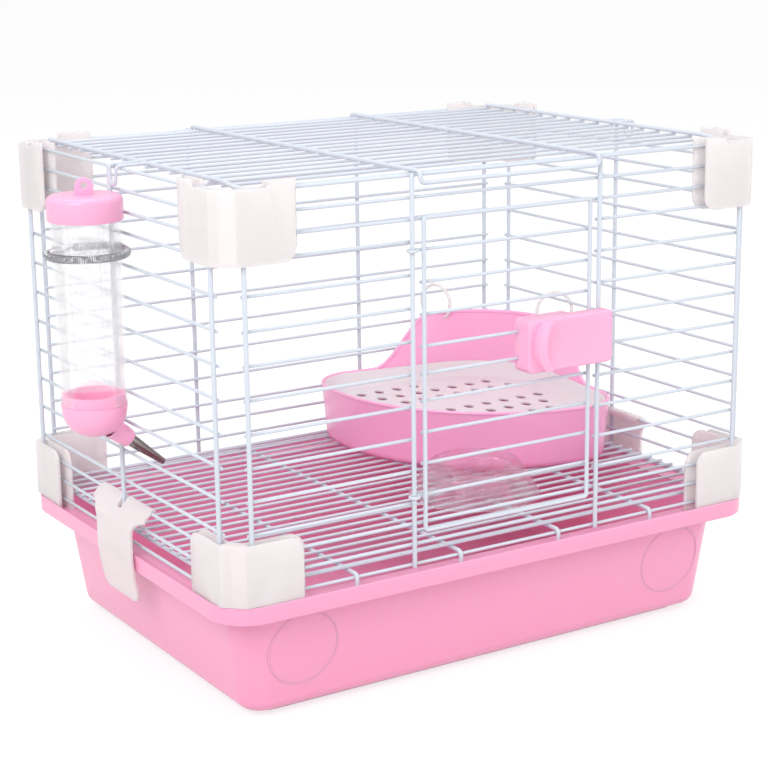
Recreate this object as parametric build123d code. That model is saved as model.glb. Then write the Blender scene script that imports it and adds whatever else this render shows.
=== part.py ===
from build123d import *
import math
import os

os.makedirs("parts", exist_ok=True)

# Frame: origin on the table, under the middle of the tray. +X right, +Y to the back, +Z up. Millimetres.

# The wire cage
cage_width = 400.0  # between the outer uprights of the front panel
cage_depth = 315.0  # from the front panel's uprights to the back panel's
corner_step = 15.0  # how far the side panels stand out past the front and back panels
wire_base = 93.0  # height of the lowest wire over the table
tight_pitch = 14.2
wide_pitch = 21.85
tight_count = 3
wide_count = 8
thin_wire = 2.3
thick_wire = 3.2
bar_wire = 3.0
weld = 0.1  # how deep crossing wires sink into each other
wire_end = 1.5  # how far a thin wire runs past the upright it is welded to
bay_left = -78.2  # the two uprights that the doorway lies between
bay_right = 73.4
running_fit = 0.1  # radial room of a loop that turns on a wire
clear = 0.3  # room between faces that slide past each other
grip_gap = 0.05  # room between a wire and the plastic that holds it
outer_skin = 2.2  # thickness of a plastic corner's outer plate

front = -cage_depth / 2
side = -cage_width / 2 - corner_step
cross_step = (thick_wire + thin_wire) / 2 - weld
levels = [0.0]
for pitch in [tight_pitch] * tight_count + [wide_pitch] * wide_count + [tight_pitch] * tight_count:
    levels.append(levels[-1] + pitch)
levels = [wire_base + z for z in levels]
first_open = tight_count
last_open = tight_count + wide_count
cage_top = levels[-1]

# The tray
rim_room = 1.65  # how far the rim stands out past the plastic corners
rim_reach = thick_wire / 2 + grip_gap + outer_skin + rim_room
tray_length = cage_width + 2 * (corner_step + rim_reach)
tray_width = cage_depth + 2 * rim_reach
rim_radius = 28.0
rim_top = wire_base - 3.0
rim_bottom = wire_base - 15.0
ledge_top = wire_base - 6.5
skin = 2.2
lip_width = 1.3
wall_inset = 15.0  # the wall's outer face, just under the ledge, from the rim's outer face
wall_taper = 8.75
wall_radius = 16.0
tray_floor = 3.5  # underside of the floor over the table
floor_rounding = 10.0
foot_inset = 39.0
foot_width = 4.0
badge_radius = 26.0
badge_spread = 156.0
badge_height = 47.0

# The door and its latch
door_left = -69.6
door_right = 65.1
door_bottom = wire_base + 23.0
door_top = wire_base + 232.5
latch_pair = wire_base + 138.65  # height midway between the two wires the latch slides on
latch_pitch = 18.3
door_pitch = 21.3
latch_left = 6.7
latch_right = 78.0
latch_height = 36.5
latch_front = -11.0
latch_back = 5.2

# The roof
roof_half = 195.0
roof_pitch = 18.0
roof_wires = 15
roof_front = 148.5
roof_back = 145.0
roof_corner = 12.0
catch_width = 12.0
catch_reach = 4.3  # how far the side loops stand past the middle uprights' axes
lip_height = 348.3
lip_bend = 4.0

# The plastic corners
outer_leg = 35.0
inner_leg = 40.0
leg_gain = 14.0  # how much further along Y the leg on the side panel reaches
inner_skin = 2.0
corner_cut = 12.5
top_corner_low = wire_base + 215.0
top_corner_high = wire_base + 265.5
lobe_drop = 3.8
low_corner_high = wire_base + 38.0

# The floor grille
grille_pitch = 12.2
grille_wires = 23
grille_cross_pitch = 82.2
grille_end = 203.5
grille_hook_low = 87.0

# The tray clips
clip_level = 2  # the wire the clip turns on, counted from the bottom
clip_width = 80.0
tongue_width = 44.0
clip_skin = 2.2
clip_low = wire_base - 38.0

# The bottle
bottle_x = -238.9
bottle_y = -12.5
bottle_top = 335.3
bottle_bottom = 197.6
bottle_radius_top = 23.2
bottle_radius_bottom = 22.2
bottle_skin = 1.2
cap_radius = 25.2
cap_low = 321.6
cap_high = 338.0
tube_angle = 39.0
spring_height = (levels[last_open - 1] + levels[last_open]) / 2
coil_radius = 2.5
coil_wire = 1.1
curls = 26

# The litter pan
pan_x = 208.0
pan_y = 127.5
pan_turn = -8.0
pan_leg = 182.0
pan_bulge = 78.0
pan_rounding = 36.0
pan_corner_rounding = 75.0
pan_taper = 5.0
pan_rim = 47.0  # height of the rim over the pan's underside
pan_wall = 89.0
pan_skin = 2.2
grate_drop = 13.0
ring_radius = 15.0
ring_wire = 2.6
ring_along = 69.5  # distance of each ring from the pan's corner, along its wall
ring_level = clip_level + 4  # the wire the rings hang on
ring_turn = 18.0

# The food bowl
bowl_bearing = -128.66  # direction of the bowl as seen from the middle of the pan's bulge
bowl_gap = 2.4  # room between the bowl and the pan
bowl_base_radius = 49.0
bowl_rim_radius = 32.5
bowl_height = 25.0
bowl_skin = 1.8


def write(name, *shapes):
    """Saves the solids of one named piece."""
    solids = [solid for shape in shapes for solid in shape.solids()]
    export_step(Compound(solids), f"parts/{name}.step")


def rod(start, end, diameter):
    """A straight round wire."""
    run = Vector(*end) - Vector(*start)
    return extrude(Plane(origin=start, z_dir=run) * Circle(diameter / 2), amount=run.length)


def bent_rod(points, diameter, bend):
    """A round wire bent at each inner point."""
    path = FilletPolyline(*points, radius=bend)
    return sweep(Plane(origin=path @ 0, z_dir=path % 0) * Circle(diameter / 2), path=path)


def nearest(shape, *points):
    """The corner of a flat shape that lies nearest to each point."""
    return [shape.vertices().sort_by_distance(point)[0] for point in points]


def mirrored(shape, across_x, across_y):
    """The same piece on another side of the cage."""
    if across_x:
        shape = mirror(shape, about=Plane.YZ)
    if across_y:
        shape = mirror(shape, about=Plane.XZ)
    return shape


def slab(length, width, radius, low):
    """A rounded rectangle lying at one height."""
    return Pos(0, 0, low) * RectangleRounded(length, width, radius)


# The tray
def tray():
    lean = math.tan(math.radians(wall_taper))
    ledge_low = ledge_top - skin
    bottom_inset = wall_inset + (ledge_low - tray_floor) * lean
    outer = slab(tray_length - 2 * bottom_inset, tray_width - 2 * bottom_inset, wall_radius, tray_floor)
    cup = extrude(outer, amount=ledge_low - tray_floor + 0.5, taper=-wall_taper)
    cup = fillet(cup.faces().sort_by(Axis.Z)[0].edges(), floor_rounding)
    foot_length = tray_length - 2 * foot_inset
    foot_depth = tray_width - 2 * foot_inset
    foot = extrude(slab(foot_length, foot_depth, wall_radius - 3, 0), amount=tray_floor + 1)
    foot -= extrude(
        slab(foot_length - 2 * foot_width, foot_depth - 2 * foot_width, wall_radius - 7, 0), amount=tray_floor
    )
    ledge = extrude(slab(tray_length, tray_width, rim_radius, ledge_low), amount=rim_top - ledge_low)
    ledge -= extrude(
        slab(tray_length - 2 * lip_width, tray_width - 2 * lip_width, rim_radius - lip_width, ledge_top), amount=skin * 4
    )
    skirt = extrude(slab(tray_length, tray_width, rim_radius, rim_bottom), amount=ledge_low - rim_bottom + 0.5)
    skirt -= extrude(slab(tray_length - 2 * skin, tray_width - 2 * skin, rim_radius - skin, rim_bottom), amount=20)
    body = cup + foot + ledge + skirt
    body = fillet(body.faces().filter_by(Plane.XY).sort_by(Axis.Z)[-1].outer_wire().edges(), lip_width * 0.8)
    inner_inset = bottom_inset - skin * lean + skin
    hollow = extrude(
        slab(tray_length - 2 * inner_inset, tray_width - 2 * inner_inset, wall_radius - skin, tray_floor + skin),
        amount=cage_top,
        taper=-wall_taper,
    )
    hollow = fillet(hollow.faces().sort_by(Axis.Z)[0].edges(), floor_rounding - skin)
    hollow &= Pos(0, 0, ledge_top / 2 + 10) * Box(tray_length, tray_width, ledge_top + 20)
    wall_y = -tray_width / 2 + bottom_inset - (badge_height - tray_floor) * lean
    for x in (-badge_spread, badge_spread):
        out = Vector(0, -1, -lean)
        body += extrude(Plane(origin=(x, wall_y + 1, badge_height), z_dir=out) * Circle(badge_radius), amount=1.8)
    return body - hollow


write("base_tray", tray())


# The four wire panels
def panel(half, uprights, out_axis, out, door_bay=False):
    """Uprights in one plane, with thin wires welded behind them."""

    def at(along, depth, z):
        place = out - math.copysign(depth, out)
        return (along, place, z) if out_axis == "Y" else (place, along, z)

    wires = []
    for along in uprights:
        wires.append(rod(at(along, 0, levels[0] - 1.6), at(along, 0, cage_top + 1.6), thick_wire))
    for number, z in enumerate(levels):
        ends = [-half - wire_end, half + wire_end]
        if door_bay and first_open <= number <= last_open:
            ends = [ends[0], bay_left + wire_end, bay_right - wire_end, ends[1]]
        for start, end in zip(ends[::2], ends[1::2]):
            wires.append(rod(at(start, cross_step, z), at(end, cross_step, z), thin_wire))
    return wires


front_uprights = [-cage_width / 2, bay_left, bay_right, cage_width / 2]
side_half = cage_depth / 2 - corner_step
write("front_panel", *panel(cage_width / 2, front_uprights, "Y", front, door_bay=True))
write("back_panel", *panel(cage_width / 2, front_uprights, "Y", -front))
write("left_panel", *panel(side_half, [-side_half, 0, side_half], "X", side))
write("right_panel", *panel(side_half, [-side_half, 0, side_half], "X", -side))


# The roof, which turns on the back panel's top wire
roof_z = cage_top + thin_wire / 2 + running_fit + bar_wire / 2
hinge_y = -front - cross_step
hoops = [bay_left + (thick_wire + bar_wire) / 2 + 1.1, bay_right - (thick_wire + bar_wire) / 2 - 0.9]


def roof():
    low_z = roof_z - (bar_wire + thin_wire) / 2 + weld
    edge_z = roof_z - bar_wire + weld
    run = roof_half + 2
    wires = []
    for number in range(roof_wires):
        y = (number - (roof_wires - 1) / 2) * roof_pitch
        wires.append(rod((-run, y, low_z), (run, y, low_z), thin_wire))
    turn = roof_half - roof_corner
    wires.append(rod((-turn, -roof_front, edge_z), (turn, -roof_front, edge_z), bar_wire))
    wires.append(rod((-run, roof_back, edge_z), (run, roof_back, edge_z), bar_wire))
    corner = Spline(
        (-roof_half, -roof_front + roof_corner, roof_z),
        (-turn, -roof_front, edge_z),
        tangents=[(0, -1, 0), (1, 0, 0)],
    )
    bend = sweep(Plane(origin=corner @ 0, z_dir=corner % 0) * Circle(bar_wire / 2), path=corner)
    for across in (False, True):
        x = roof_half if across else -roof_half
        wires.append(rod((x, -roof_front + roof_corner, roof_z), (x, roof_back + 2, roof_z), bar_wire))
        wires.append(mirrored(bend, across, False))
        near = x + math.copysign(bar_wire / 2 - weld, x)
        far = math.copysign(-side + catch_reach, x)
        catch_z = cage_top + thin_wire + running_fit
        half_catch = catch_width / 2
        loop = [
            (near, half_catch, catch_z), (far, half_catch, catch_z),
            (far, -half_catch, catch_z), (near, -half_catch, catch_z),
        ]
        wires.append(bent_rod(loop, thin_wire, 4))
    lip_y = front - thick_wire / 2 - bar_wire / 2 - 0.6
    for x in hoops:
        eye = Pos(x, hinge_y, cage_top) * Rot(0, 90, 0) * Torus(
            (thin_wire + bar_wire) / 2 + running_fit, bar_wire / 2
        )
        wires.append(rod((x, lip_y + lip_bend, roof_z), (x, hinge_y, roof_z), bar_wire) + eye)
        inward = 1 if x < 0 else -1
        down = [
            (x, lip_y + lip_bend, roof_z),
            (x, lip_y, roof_z),
            (x, lip_y, lip_height),
            (x + inward * 9, lip_y, lip_height),
        ]
        wires.append(bent_rod(down, bar_wire, lip_bend - 0.2))
    wires.append(rod((hoops[0] + 9, lip_y, lip_height), (hoops[1] - 9, lip_y, lip_height), bar_wire))
    return wires


write("roof_lid", *roof())

# The door, which turns on the doorway's left upright
door_y = front + cross_step - thin_wire / 2 - bar_wire / 2 - clear
door_wire_y = door_y + (bar_wire + thin_wire) / 2 - weld
latch_wires = [latch_pair - latch_pitch / 2, latch_pair + latch_pitch / 2]
door_levels = [latch_wires[0] - latch_pitch - door_pitch * step for step in (3, 2, 1, 0)]
door_levels += latch_wires
door_levels += [latch_wires[1] + door_pitch * step for step in (1, 2, 3)]


def door():
    reach = bar_wire / 2
    wires = [
        rod((door_left, door_y, door_bottom + reach), (door_left, door_y, door_top - reach), bar_wire),
        rod((door_right, door_y, door_bottom + reach), (door_right, door_y, door_top - reach), bar_wire),
        rod((door_left - reach, door_y, door_bottom), (door_right + reach, door_y, door_bottom), bar_wire),
        rod((door_left - reach, door_y, door_top), (door_right + reach, door_y, door_top), bar_wire),
    ]
    for number, z in enumerate(door_levels):
        start = (door_left - wire_end, door_wire_y, z)
        end = (door_right + wire_end, door_wire_y, z)
        if number in (0, len(door_levels) - 1):
            loop_radius = thick_wire / 2 + running_fit + thin_wire / 2
            offset = door_wire_y - front
            start = (bay_left + math.sqrt(loop_radius**2 - offset**2), door_wire_y, z)
            loop = Pos(bay_left, front, z) * Torus(loop_radius, thin_wire / 2)
            wires.append(rod(start, end, thin_wire) + loop)
        else:
            wires.append(rod(start, end, thin_wire))
    return wires


write("front_door", *door())


# The latch, in two halves around the two door wires
def latch_halves():
    length = latch_right - latch_left
    middle = (latch_left + latch_right) / 2
    split = door_wire_y
    low_y = front + latch_front
    high_y = front + latch_back
    depth = high_y - low_y
    body = Pos(middle, (low_y + high_y) / 2, latch_pair) * Box(length, depth, latch_height)
    body = fillet(body.edges().filter_by(Axis.Y), 4)
    body = fillet(body.faces().sort_by(Axis.Y)[0].edges(), 1.8)
    grip_end = door_right - bar_wire / 2 - clear - 17
    frame_face = door_y - bar_wire / 2 - clear
    behind = high_y - frame_face
    body -= Pos((grip_end + latch_right) / 2 + 1, frame_face + behind / 2, latch_pair) * Box(
        latch_right - grip_end + 2, behind, latch_height + 2
    )
    pocket_left = latch_left + 19
    pocket = Pos((pocket_left + latch_right - 3) / 2, low_y + 3 + depth / 2, latch_pair) * Box(
        latch_right - 3 - pocket_left, depth, latch_height - 6
    )
    holes = [
        rod((latch_left - 1, split, z), (latch_right, split, z), thin_wire + 2 * running_fit) for z in latch_wires
    ]
    for hole in holes:
        body -= hole
    grip_x = latch_left + 28
    grip = Pos(grip_x, low_y + 0.5, latch_pair) * Rot(90, 0, 0) * extrude(
        Circle(24) - Pos(7, 0) * Circle(24), amount=6.5
    )
    grip &= Pos(grip_x - 20, low_y, latch_pair) * Box(26, 30, 33)
    front_half = body & Pos(middle, split - 50, latch_pair) * Box(200, 100 - 2 * 0.02, 100)
    front_half = front_half - pocket + grip
    back_half = body & Pos(middle, split + 50, latch_pair) * Box(200, 100 - 2 * 0.02, 100)
    return front_half, back_half


latch_front_half, latch_back_half = latch_halves()
write("latch_slider", latch_front_half)
write("latch_back", latch_back_half)


# The plastic corners, each an outer and an inner plate with the wire ends between them
def corner(low, high, at_top):
    out = thick_wire / 2 + grip_gap
    back = cross_step + thin_wire / 2 + grip_gap
    edge = out + outer_skin
    cut = corner_cut
    slant = outer_skin * (math.sqrt(2) - 1)
    side_leg = outer_leg + leg_gain
    side_inner = inner_leg + leg_gain
    far = -corner_step

    outer_band = make_face(
        Polyline(
            (outer_leg, -edge), (far - edge + cut, -edge), (far - edge, cut - edge), (far - edge, side_leg),
            (far - out, side_leg), (far - out, cut - edge + slant), (far - edge + cut + slant, -out),
            (outer_leg, -out), close=True,
        )
    )
    inner_band = make_face(
        Polyline(
            (inner_leg, back), (inner_leg, back + inner_skin), (far + back + inner_skin + 6, back + inner_skin),
            (far + back + inner_skin, back + inner_skin + 6), (far + back + inner_skin, side_inner),
            (far + back, side_inner), (far + back, back), close=True,
        )
    )
    web = make_face(
        Polyline(
            (-3, -out - 0.5), (-3, back + 0.5), (far + back + 0.5, back + 0.5), (far + back + 0.5, -far - 3),
            (far - out - 0.5, -far - 3), (far - out - 0.5, cut - edge + slant),
            (far - edge + cut + slant, -out - 0.5), close=True,
        )
    )
    bands = []
    for band, reach, radius in ((outer_band, outer_leg, 9), (inner_band, inner_leg, 11)):
        solid = Pos(0, 0, low) * extrude(band, amount=high - low)
        for plane, end in ((Plane.XZ, reach), (Plane.YZ, reach + leg_gain)):
            outline = Pos(end, (low + high) / 2) * Rectangle(2 * end + 60, high - low)
            outline = Pos(-end - 30) * outline
            ends = outline.vertices().group_by(Axis.X)[-1].sort_by(Axis.Y)
            free_end = ends[0] if at_top else ends[-1]
            outline = fillet(free_end, radius)
            solid &= extrude(plane * outline, amount=150, both=True)
        bands.append(solid)
    piece = bands[0] + bands[1] + Pos(0, 0, low) * extrude(web, amount=high - low)
    if at_top:
        dip_x = outer_leg - 18
        dip_y = side_leg - 18
        dip = Box(dip_x + 40, dip_y + 40, 20, align=(Align.MAX, Align.MAX, Align.MIN))
        dip = fillet(dip.edges().filter_by(Axis.Y).sort_by(Axis.X)[-2:].sort_by(Axis.Z)[0], 2.5)
        piece -= Pos(dip_x, dip_y, high - lobe_drop) * dip
    piece = Pos(-cage_width / 2, front, 0) * piece
    if at_top:
        return piece
    fit = 2 * (lip_width + clear)
    in_rim = extrude(
        slab(tray_length - fit, tray_width - fit, rim_radius - fit / 2, low - 1), amount=rim_top + clear - low + 1
    )
    above_rim = Pos(0, 0, rim_top + clear) * Box(
        tray_length, tray_width, high, align=(Align.CENTER, Align.CENTER, Align.MIN)
    )
    return piece & (in_rim + above_rim)


low_corner = corner(ledge_top + grip_gap, low_corner_high, False)
top_corner = corner(top_corner_low, top_corner_high, True)
for across_y, depth_name in ((False, "front"), (True, "back")):
    for across_x, side_name in ((False, "left"), (True, "right")):
        write(f"lower_corner_{depth_name}_{side_name}", mirrored(low_corner, across_x, across_y))
        write(f"upper_corner_{depth_name}_{side_name}", mirrored(top_corner, across_x, across_y))

# The floor grille, which stands on the bottom wires and hooks over them
grille_cross_z = levels[0] + (thin_wire + bar_wire) / 2
grille_z = grille_cross_z + (thin_wire + bar_wire) / 2 - weld
grille_top = grille_z + thin_wire / 2


def grille():
    wires = []
    half = (grille_wires - 1) / 2
    for number in range(grille_wires):
        y = (number - half) * grille_pitch
        wires.append(rod((-grille_end - 2.5, y, grille_z), (grille_end + 2.5, y, grille_z), thin_wire))
    edge = (half + 1) * grille_pitch
    edge_z = grille_cross_z + bar_wire - weld
    hook_y = front + cross_step - thin_wire / 2 - bar_wire / 2 - grip_gap
    for way in (1, -1):
        wires.append(rod((-grille_end - 1, way * edge, edge_z), (grille_end + 1, way * edge, edge_z), bar_wire))
        wires.append(rod((way * grille_end, -edge - 1.5, grille_cross_z), (way * grille_end, edge + 1.5, grille_cross_z), bar_wire))
    for step in (-1.5, -0.5, 0.5, 1.5):
        x = step * grille_cross_pitch
        wires.append(rod((x, -edge - 3, grille_cross_z), (x, edge + 3, grille_cross_z), bar_wire))
        hook = bent_rod(
            [(x, -edge - 3, grille_cross_z), (x, hook_y, grille_cross_z), (x, hook_y, grille_hook_low)], bar_wire, 2.6
        )
        wires.append(hook)
        wires.append(mirrored(hook, False, True))
    return wires


write("floor_grille", *grille())


# The clips that hold the tray, each turning on a side panel's wire
def clip():
    wire_x = side + cross_step
    wire_z = levels[clip_level]
    hold = thin_wire / 2 + running_fit
    mid = hold + clip_skin / 2
    rim_x = -tray_length / 2 - clear - clip_skin / 2
    spine = Spline(
        (wire_x - mid, wire_z),
        (rim_x - 1.5, rim_top + 12),
        (rim_x - 0.6, rim_top - 2),
        (rim_x - 0.2, rim_bottom - 2),
        (rim_x + 3.5, clip_low),
        tangents=[(0, -1), (0.25, -1)],
    )
    band = Plane.XZ * trace(spine, clip_skin)
    barb_z = rim_bottom - 1.2
    barb = make_face(
        Plane.XZ
        * Polyline(
            (rim_x, barb_z), (rim_x + clip_skin / 2 + 1.6, barb_z - 0.4), (rim_x + clip_skin / 2, barb_z - 5),
            (rim_x, barb_z - 5), close=True,
        )
    )
    barrel = Plane(origin=(wire_x, 0, wire_z), x_dir=(1, 0, 0), z_dir=(0, -1, 0)) * (
        Circle(hold + clip_skin) - Circle(hold)
    )
    plate = extrude(band, amount=clip_width / 2, both=True) + extrude(barb, amount=tongue_width / 2, both=True)
    plate += extrude(barrel, amount=clip_width / 2, both=True)
    slot = hold + clip_skin
    mouth = Pos(wire_x, 0, wire_z - 5) * Box(2 * hold * 0.86, clip_width + 2, 10)
    plate -= mouth
    plate -= Pos(wire_x, 0, wire_z) * Rot(90, 0, 0) * Cylinder(hold, clip_width + 2)
    half = clip_width / 2
    tongue = tongue_width / 2
    low = clip_low - 4
    high = wire_z + slot + 2
    arm_low = wire_z - 9
    outline = make_face(
        Polyline(
            (-half, high), (-half, arm_low), (-tongue, arm_low - 14), (-tongue, low),
            (tongue, low), (tongue, arm_low - 14), (half, arm_low), (half, high), close=True,
        )
    )
    for radius, x, y in ((7, tongue, low), (6, tongue, arm_low - 14), (5, half, arm_low)):
        outline = fillet(nearest(outline, (-x, y), (x, y)), radius)
    outline -= Pos(0, high) * RectangleRounded(thick_wire + 3, 2 * (high - wire_z + 14), 2)
    stamp = Plane(origin=(0, 0, 0), x_dir=(0, 1, 0), z_dir=(1, 0, 0)) * outline
    plate &= Pos(side - 30, 0, 0) * extrude(stamp, amount=60)
    return plate


left_clip = clip()
write("left_tray_clip", left_clip)
write("right_tray_clip", mirrored(left_clip, True, False))


# The drinking bottle
def around_bottle(profile):
    return Pos(bottle_x, bottle_y, 0) * revolve(Plane.XZ * profile, axis=Axis.Z)


tube_mid_z = (levels[first_open + 1] + levels[first_open + 2]) / 2 - 1.5
tube_dir = Vector(math.cos(math.radians(tube_angle)), 0, -math.sin(math.radians(tube_angle)))
tube_gate = Vector(side + cross_step, bottle_y, tube_mid_z)
tube_root = tube_gate - tube_dir * 11
tube_length = 46.0
neck_length = 20.0


def bottle_cap():
    profile = make_face(
        Polyline(
            (0, cap_high), (cap_radius, cap_high), (cap_radius, cap_low), (bottle_radius_top + grip_gap, cap_low),
            (bottle_radius_top + grip_gap, bottle_top + grip_gap), (0, bottle_top + grip_gap), close=True,
        )
    )
    cap = around_bottle(fillet(nearest(profile, (cap_radius, cap_high)), 4))
    tab = RectangleRounded(12, 22, 5.9) - Pos(0, 6) * Circle(1.8)
    tab = extrude(Plane(origin=(bottle_x, bottle_y, cap_high), z_dir=(0, -1, 0)) * tab, amount=1.5, both=True)
    tab &= Pos(bottle_x, bottle_y, cap_high + 9) * Box(30, 30, 20)
    return cap + tab


def bottle_body():
    return around_bottle(
        make_face(
            Polyline(
                (bottle_radius_bottom, bottle_bottom), (bottle_radius_top, cap_low - 2), (bottle_radius_top, bottle_top),
                (bottle_radius_top - bottle_skin, bottle_top), (bottle_radius_top - bottle_skin, cap_low - 2),
                (bottle_radius_bottom - bottle_skin, bottle_bottom), close=True,
            )
        )
    )


def base_cup():
    plug = bottle_radius_bottom - bottle_skin - grip_gap
    profile = make_face(
        Line((0, bottle_bottom + 7), (plug, bottle_bottom + 7))
        + Line((plug, bottle_bottom + 7), (plug, bottle_bottom - grip_gap))
        + Line((plug, bottle_bottom - grip_gap), (bottle_radius_bottom, bottle_bottom - grip_gap))
        + Spline(
            (bottle_radius_bottom, bottle_bottom - grip_gap), (18.5, bottle_bottom - 14), (0, bottle_bottom - 22.6),
            tangents=[(-0.1, -1), (-1, 0)],
        )
        + Line((0, bottle_bottom - 22.6), (0, bottle_bottom + 7))
    )
    cup = around_bottle(profile)
    neck_plane = Plane(origin=tube_root - tube_dir * 16, z_dir=tube_dir)
    neck = loft([neck_plane * Circle(9), neck_plane.offset(neck_length) * Circle(5.2)])
    inside = Pos(bottle_x, bottle_y, 0) * Cylinder(bottle_radius_bottom - 6, bottle_bottom - 8, align=(Align.CENTER, Align.CENTER, Align.MIN))
    hollow = around_bottle(
        make_face(
            Polyline(
                (0, bottle_bottom + 8), (plug - 2, bottle_bottom + 8), (plug - 2, bottle_bottom - 4),
                (13, bottle_bottom - 15), (0, bottle_bottom - 19), close=True,
            )
        )
    )
    bore = extrude(Plane(origin=tube_root - tube_dir * 16, z_dir=tube_dir) * Circle(3.4 + grip_gap), amount=neck_length + 10)
    return cup + neck - hollow - bore


def drinking_tube():
    start = tube_root - tube_dir * 6
    plane = Plane(origin=start, z_dir=tube_dir)
    profile = make_face(
        Polyline(
            (1.25, 0), (3.4, 0), (3.4, 18), (1.6, tube_length), (0.95, tube_length), (1.25, tube_length - 0.9), close=True
        )
    )
    return plane * revolve(Plane.XZ * profile, axis=Axis.Z)


write("bottle_cap", bottle_cap())
write("bottle_body", bottle_body())
write("bottle_base_cup", base_cup())
write("drinking_tube", drinking_tube())
ball_radius = 1.1
ball_centre = tube_root - tube_dir * 6 + tube_dir * (tube_length - 1.9)
write("tube_ball", Pos(*ball_centre) * Sphere(ball_radius))


# The spring that straps the bottle to the side panel's middle upright
def biarc(start, start_dir, end, end_dir):
    """Two arcs that leave and arrive along the given directions."""
    gap = end - start
    both = start_dir + end_dir
    turn = 2 * (1 - start_dir.dot(end_dir))
    reach = gap.dot(both)
    if turn < 1e-9:
        step = gap.dot(gap) / (2 * reach)
    else:
        step = (-reach + math.sqrt(reach**2 + turn * gap.dot(gap))) / turn
    joint = (start + end + (start_dir - end_dir) * step) / 2
    first = Edge.make_tangent_arc(start, start_dir, joint)
    second = Edge.make_tangent_arc(joint, first % 1, end)
    return [first, second]


def spring():
    """A coil laid round the bottle and the upright, with plain tails that meet behind the bottle."""
    bottle_at = Vector(bottle_x, bottle_y)
    post_at = Vector(side, 0)
    share = (spring_height - bottle_bottom) / (cap_low - 2 - bottle_bottom)
    body_radius = bottle_radius_bottom + (bottle_radius_top - bottle_radius_bottom) * share
    coil_out = coil_radius + coil_wire / 2 + grip_gap
    big = body_radius + coil_out
    small = thick_wire / 2 + coil_out
    span = post_at - bottle_at
    lean = math.degrees(math.atan2(span.Y, span.X))
    spread = math.degrees(math.acos((big - small) / span.length))
    straight = math.sqrt(span.length**2 - (big - small) ** 2)
    first_angle = lean - spread
    last_angle = lean + spread
    pieces = [
        ("arc", bottle_at, big, 150.0 - 360.0, first_angle),
        ("line", straight, first_angle),
        ("arc", post_at, small, first_angle, last_angle),
        ("line", straight, last_angle),
        ("arc", bottle_at, big, last_angle, 88.0),
    ]

    def polar(centre, radius, angle):
        return centre + Vector(math.cos(math.radians(angle)), math.sin(math.radians(angle))) * radius

    lengths = [
        math.radians(piece[4] - piece[3]) * piece[2] if piece[0] == "arc" else piece[1] for piece in pieces
    ]
    total = sum(lengths)

    def guide(distance):
        """The coil's centre line and its outward direction at one distance along it."""
        left = distance
        for piece, length in zip(pieces, lengths):
            if left <= length or piece is pieces[-1]:
                break
            left -= length
        if piece[0] == "arc":
            angle = piece[3] + math.degrees(left / piece[2])
            point = polar(piece[1], piece[2], angle)
        else:
            angle = piece[2]
            start = polar(bottle_at, big, angle) if piece is pieces[1] else polar(post_at, small, angle)
            point = start + Vector(-math.sin(math.radians(angle)), math.cos(math.radians(angle))) * left
        return point, Vector(math.cos(math.radians(angle)), math.sin(math.radians(angle)))

    def coil_point(turns):
        point, outward = guide(total * turns / curls)
        size = coil_radius * min(1.0, 0.25 + turns, 0.25 + curls - turns)
        swing = 2 * math.pi * turns
        spot = point + outward * (size * math.cos(swing))
        return Vector(spot.X, spot.Y, spring_height + size * math.sin(swing))

    def coil_dir(turns):
        step = 1e-4
        return (coil_point(turns + step) - coil_point(turns - step)).normalized()

    def tail(angle, lift, centre=bottle_at, radius=big):
        spot = polar(centre, radius, angle)
        return Vector(spot.X, spot.Y, spring_height + lift)

    def tail_dir(angle):
        return Vector(-math.sin(math.radians(angle)), math.cos(math.radians(angle)), 0)

    nodes = [(tail(112, 1.6), tail_dir(112)), (tail(138, 1.2), tail_dir(138))]
    steps = curls * 2
    for number in range(steps + 1):
        turns = curls * number / steps
        nodes.append((coil_point(turns), coil_dir(turns)))
    nodes += [(tail(102, -1.2), tail_dir(102)), (tail(128, -1.6), tail_dir(128))]
    edges = []
    for (start, start_dir), (end, end_dir) in zip(nodes, nodes[1:]):
        edges += biarc(start, start_dir, end, end_dir)
    path = Wire(edges)
    samples = [path.position_at(step / 3000) for step in range(3001)]
    stride = path.length / 3000
    apart = int(3 * coil_wire / stride) + 1
    gap = min(
        (samples[i] - samples[j]).length
        for i in range(0, 3001, 2)
        for j in range(i + apart, min(3001, i + apart + 160), 2)
    )
    print("spring: least gap between curls", round(gap - coil_wire, 2), "mm")
    return sweep(Plane(origin=path @ 0, z_dir=path % 0) * Circle(coil_wire / 2), path=path)


write("bottle_spring", spring())

# The litter pan, its grate and the two rings it hangs from
pan_low = grille_top + grip_gap
pan_place = Pos(pan_x, pan_y, pan_low) * Rot(0, 0, pan_turn)
pan_lean = math.tan(math.radians(pan_taper))


def pan_plan(inset):
    """The pan's outline at its rim, with its corner at the origin."""
    half = pan_leg / 2 + pan_bulge / math.sqrt(2)
    outline = make_face(
        Line((-pan_leg, 0), (0, 0))
        + Line((0, 0), (0, -pan_leg))
        + ThreePointArc((0, -pan_leg), (-half, -half), (-pan_leg, 0))
    )
    outline = fillet(nearest(outline, (0, 0)), pan_corner_rounding)
    outline = fillet(nearest(outline, (-pan_leg, 0), (0, -pan_leg)), pan_rounding)
    return offset(outline, amount=-inset) if inset else outline


def ring_hole(wire, inward, turn):
    """Where a ring that hangs on a wire passes through the pan's wall."""
    inner = ring_radius - ring_wire / 2
    centre_drop = 7.0
    reach = math.sqrt((inner - thin_wire / 2 - 0.6) ** 2 - centre_drop**2)
    plane_dir = inward.rotate(Axis.Z, turn)
    return Vector(*wire) + plane_dir * reach - Vector(0, 0, centre_drop), plane_dir


def wall_point(leg_dir):
    """The point of a pan wall's outer face, at rim height, that a ring hangs from."""
    return (pan_place * Pos(*(leg_dir * ring_along))).position


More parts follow.
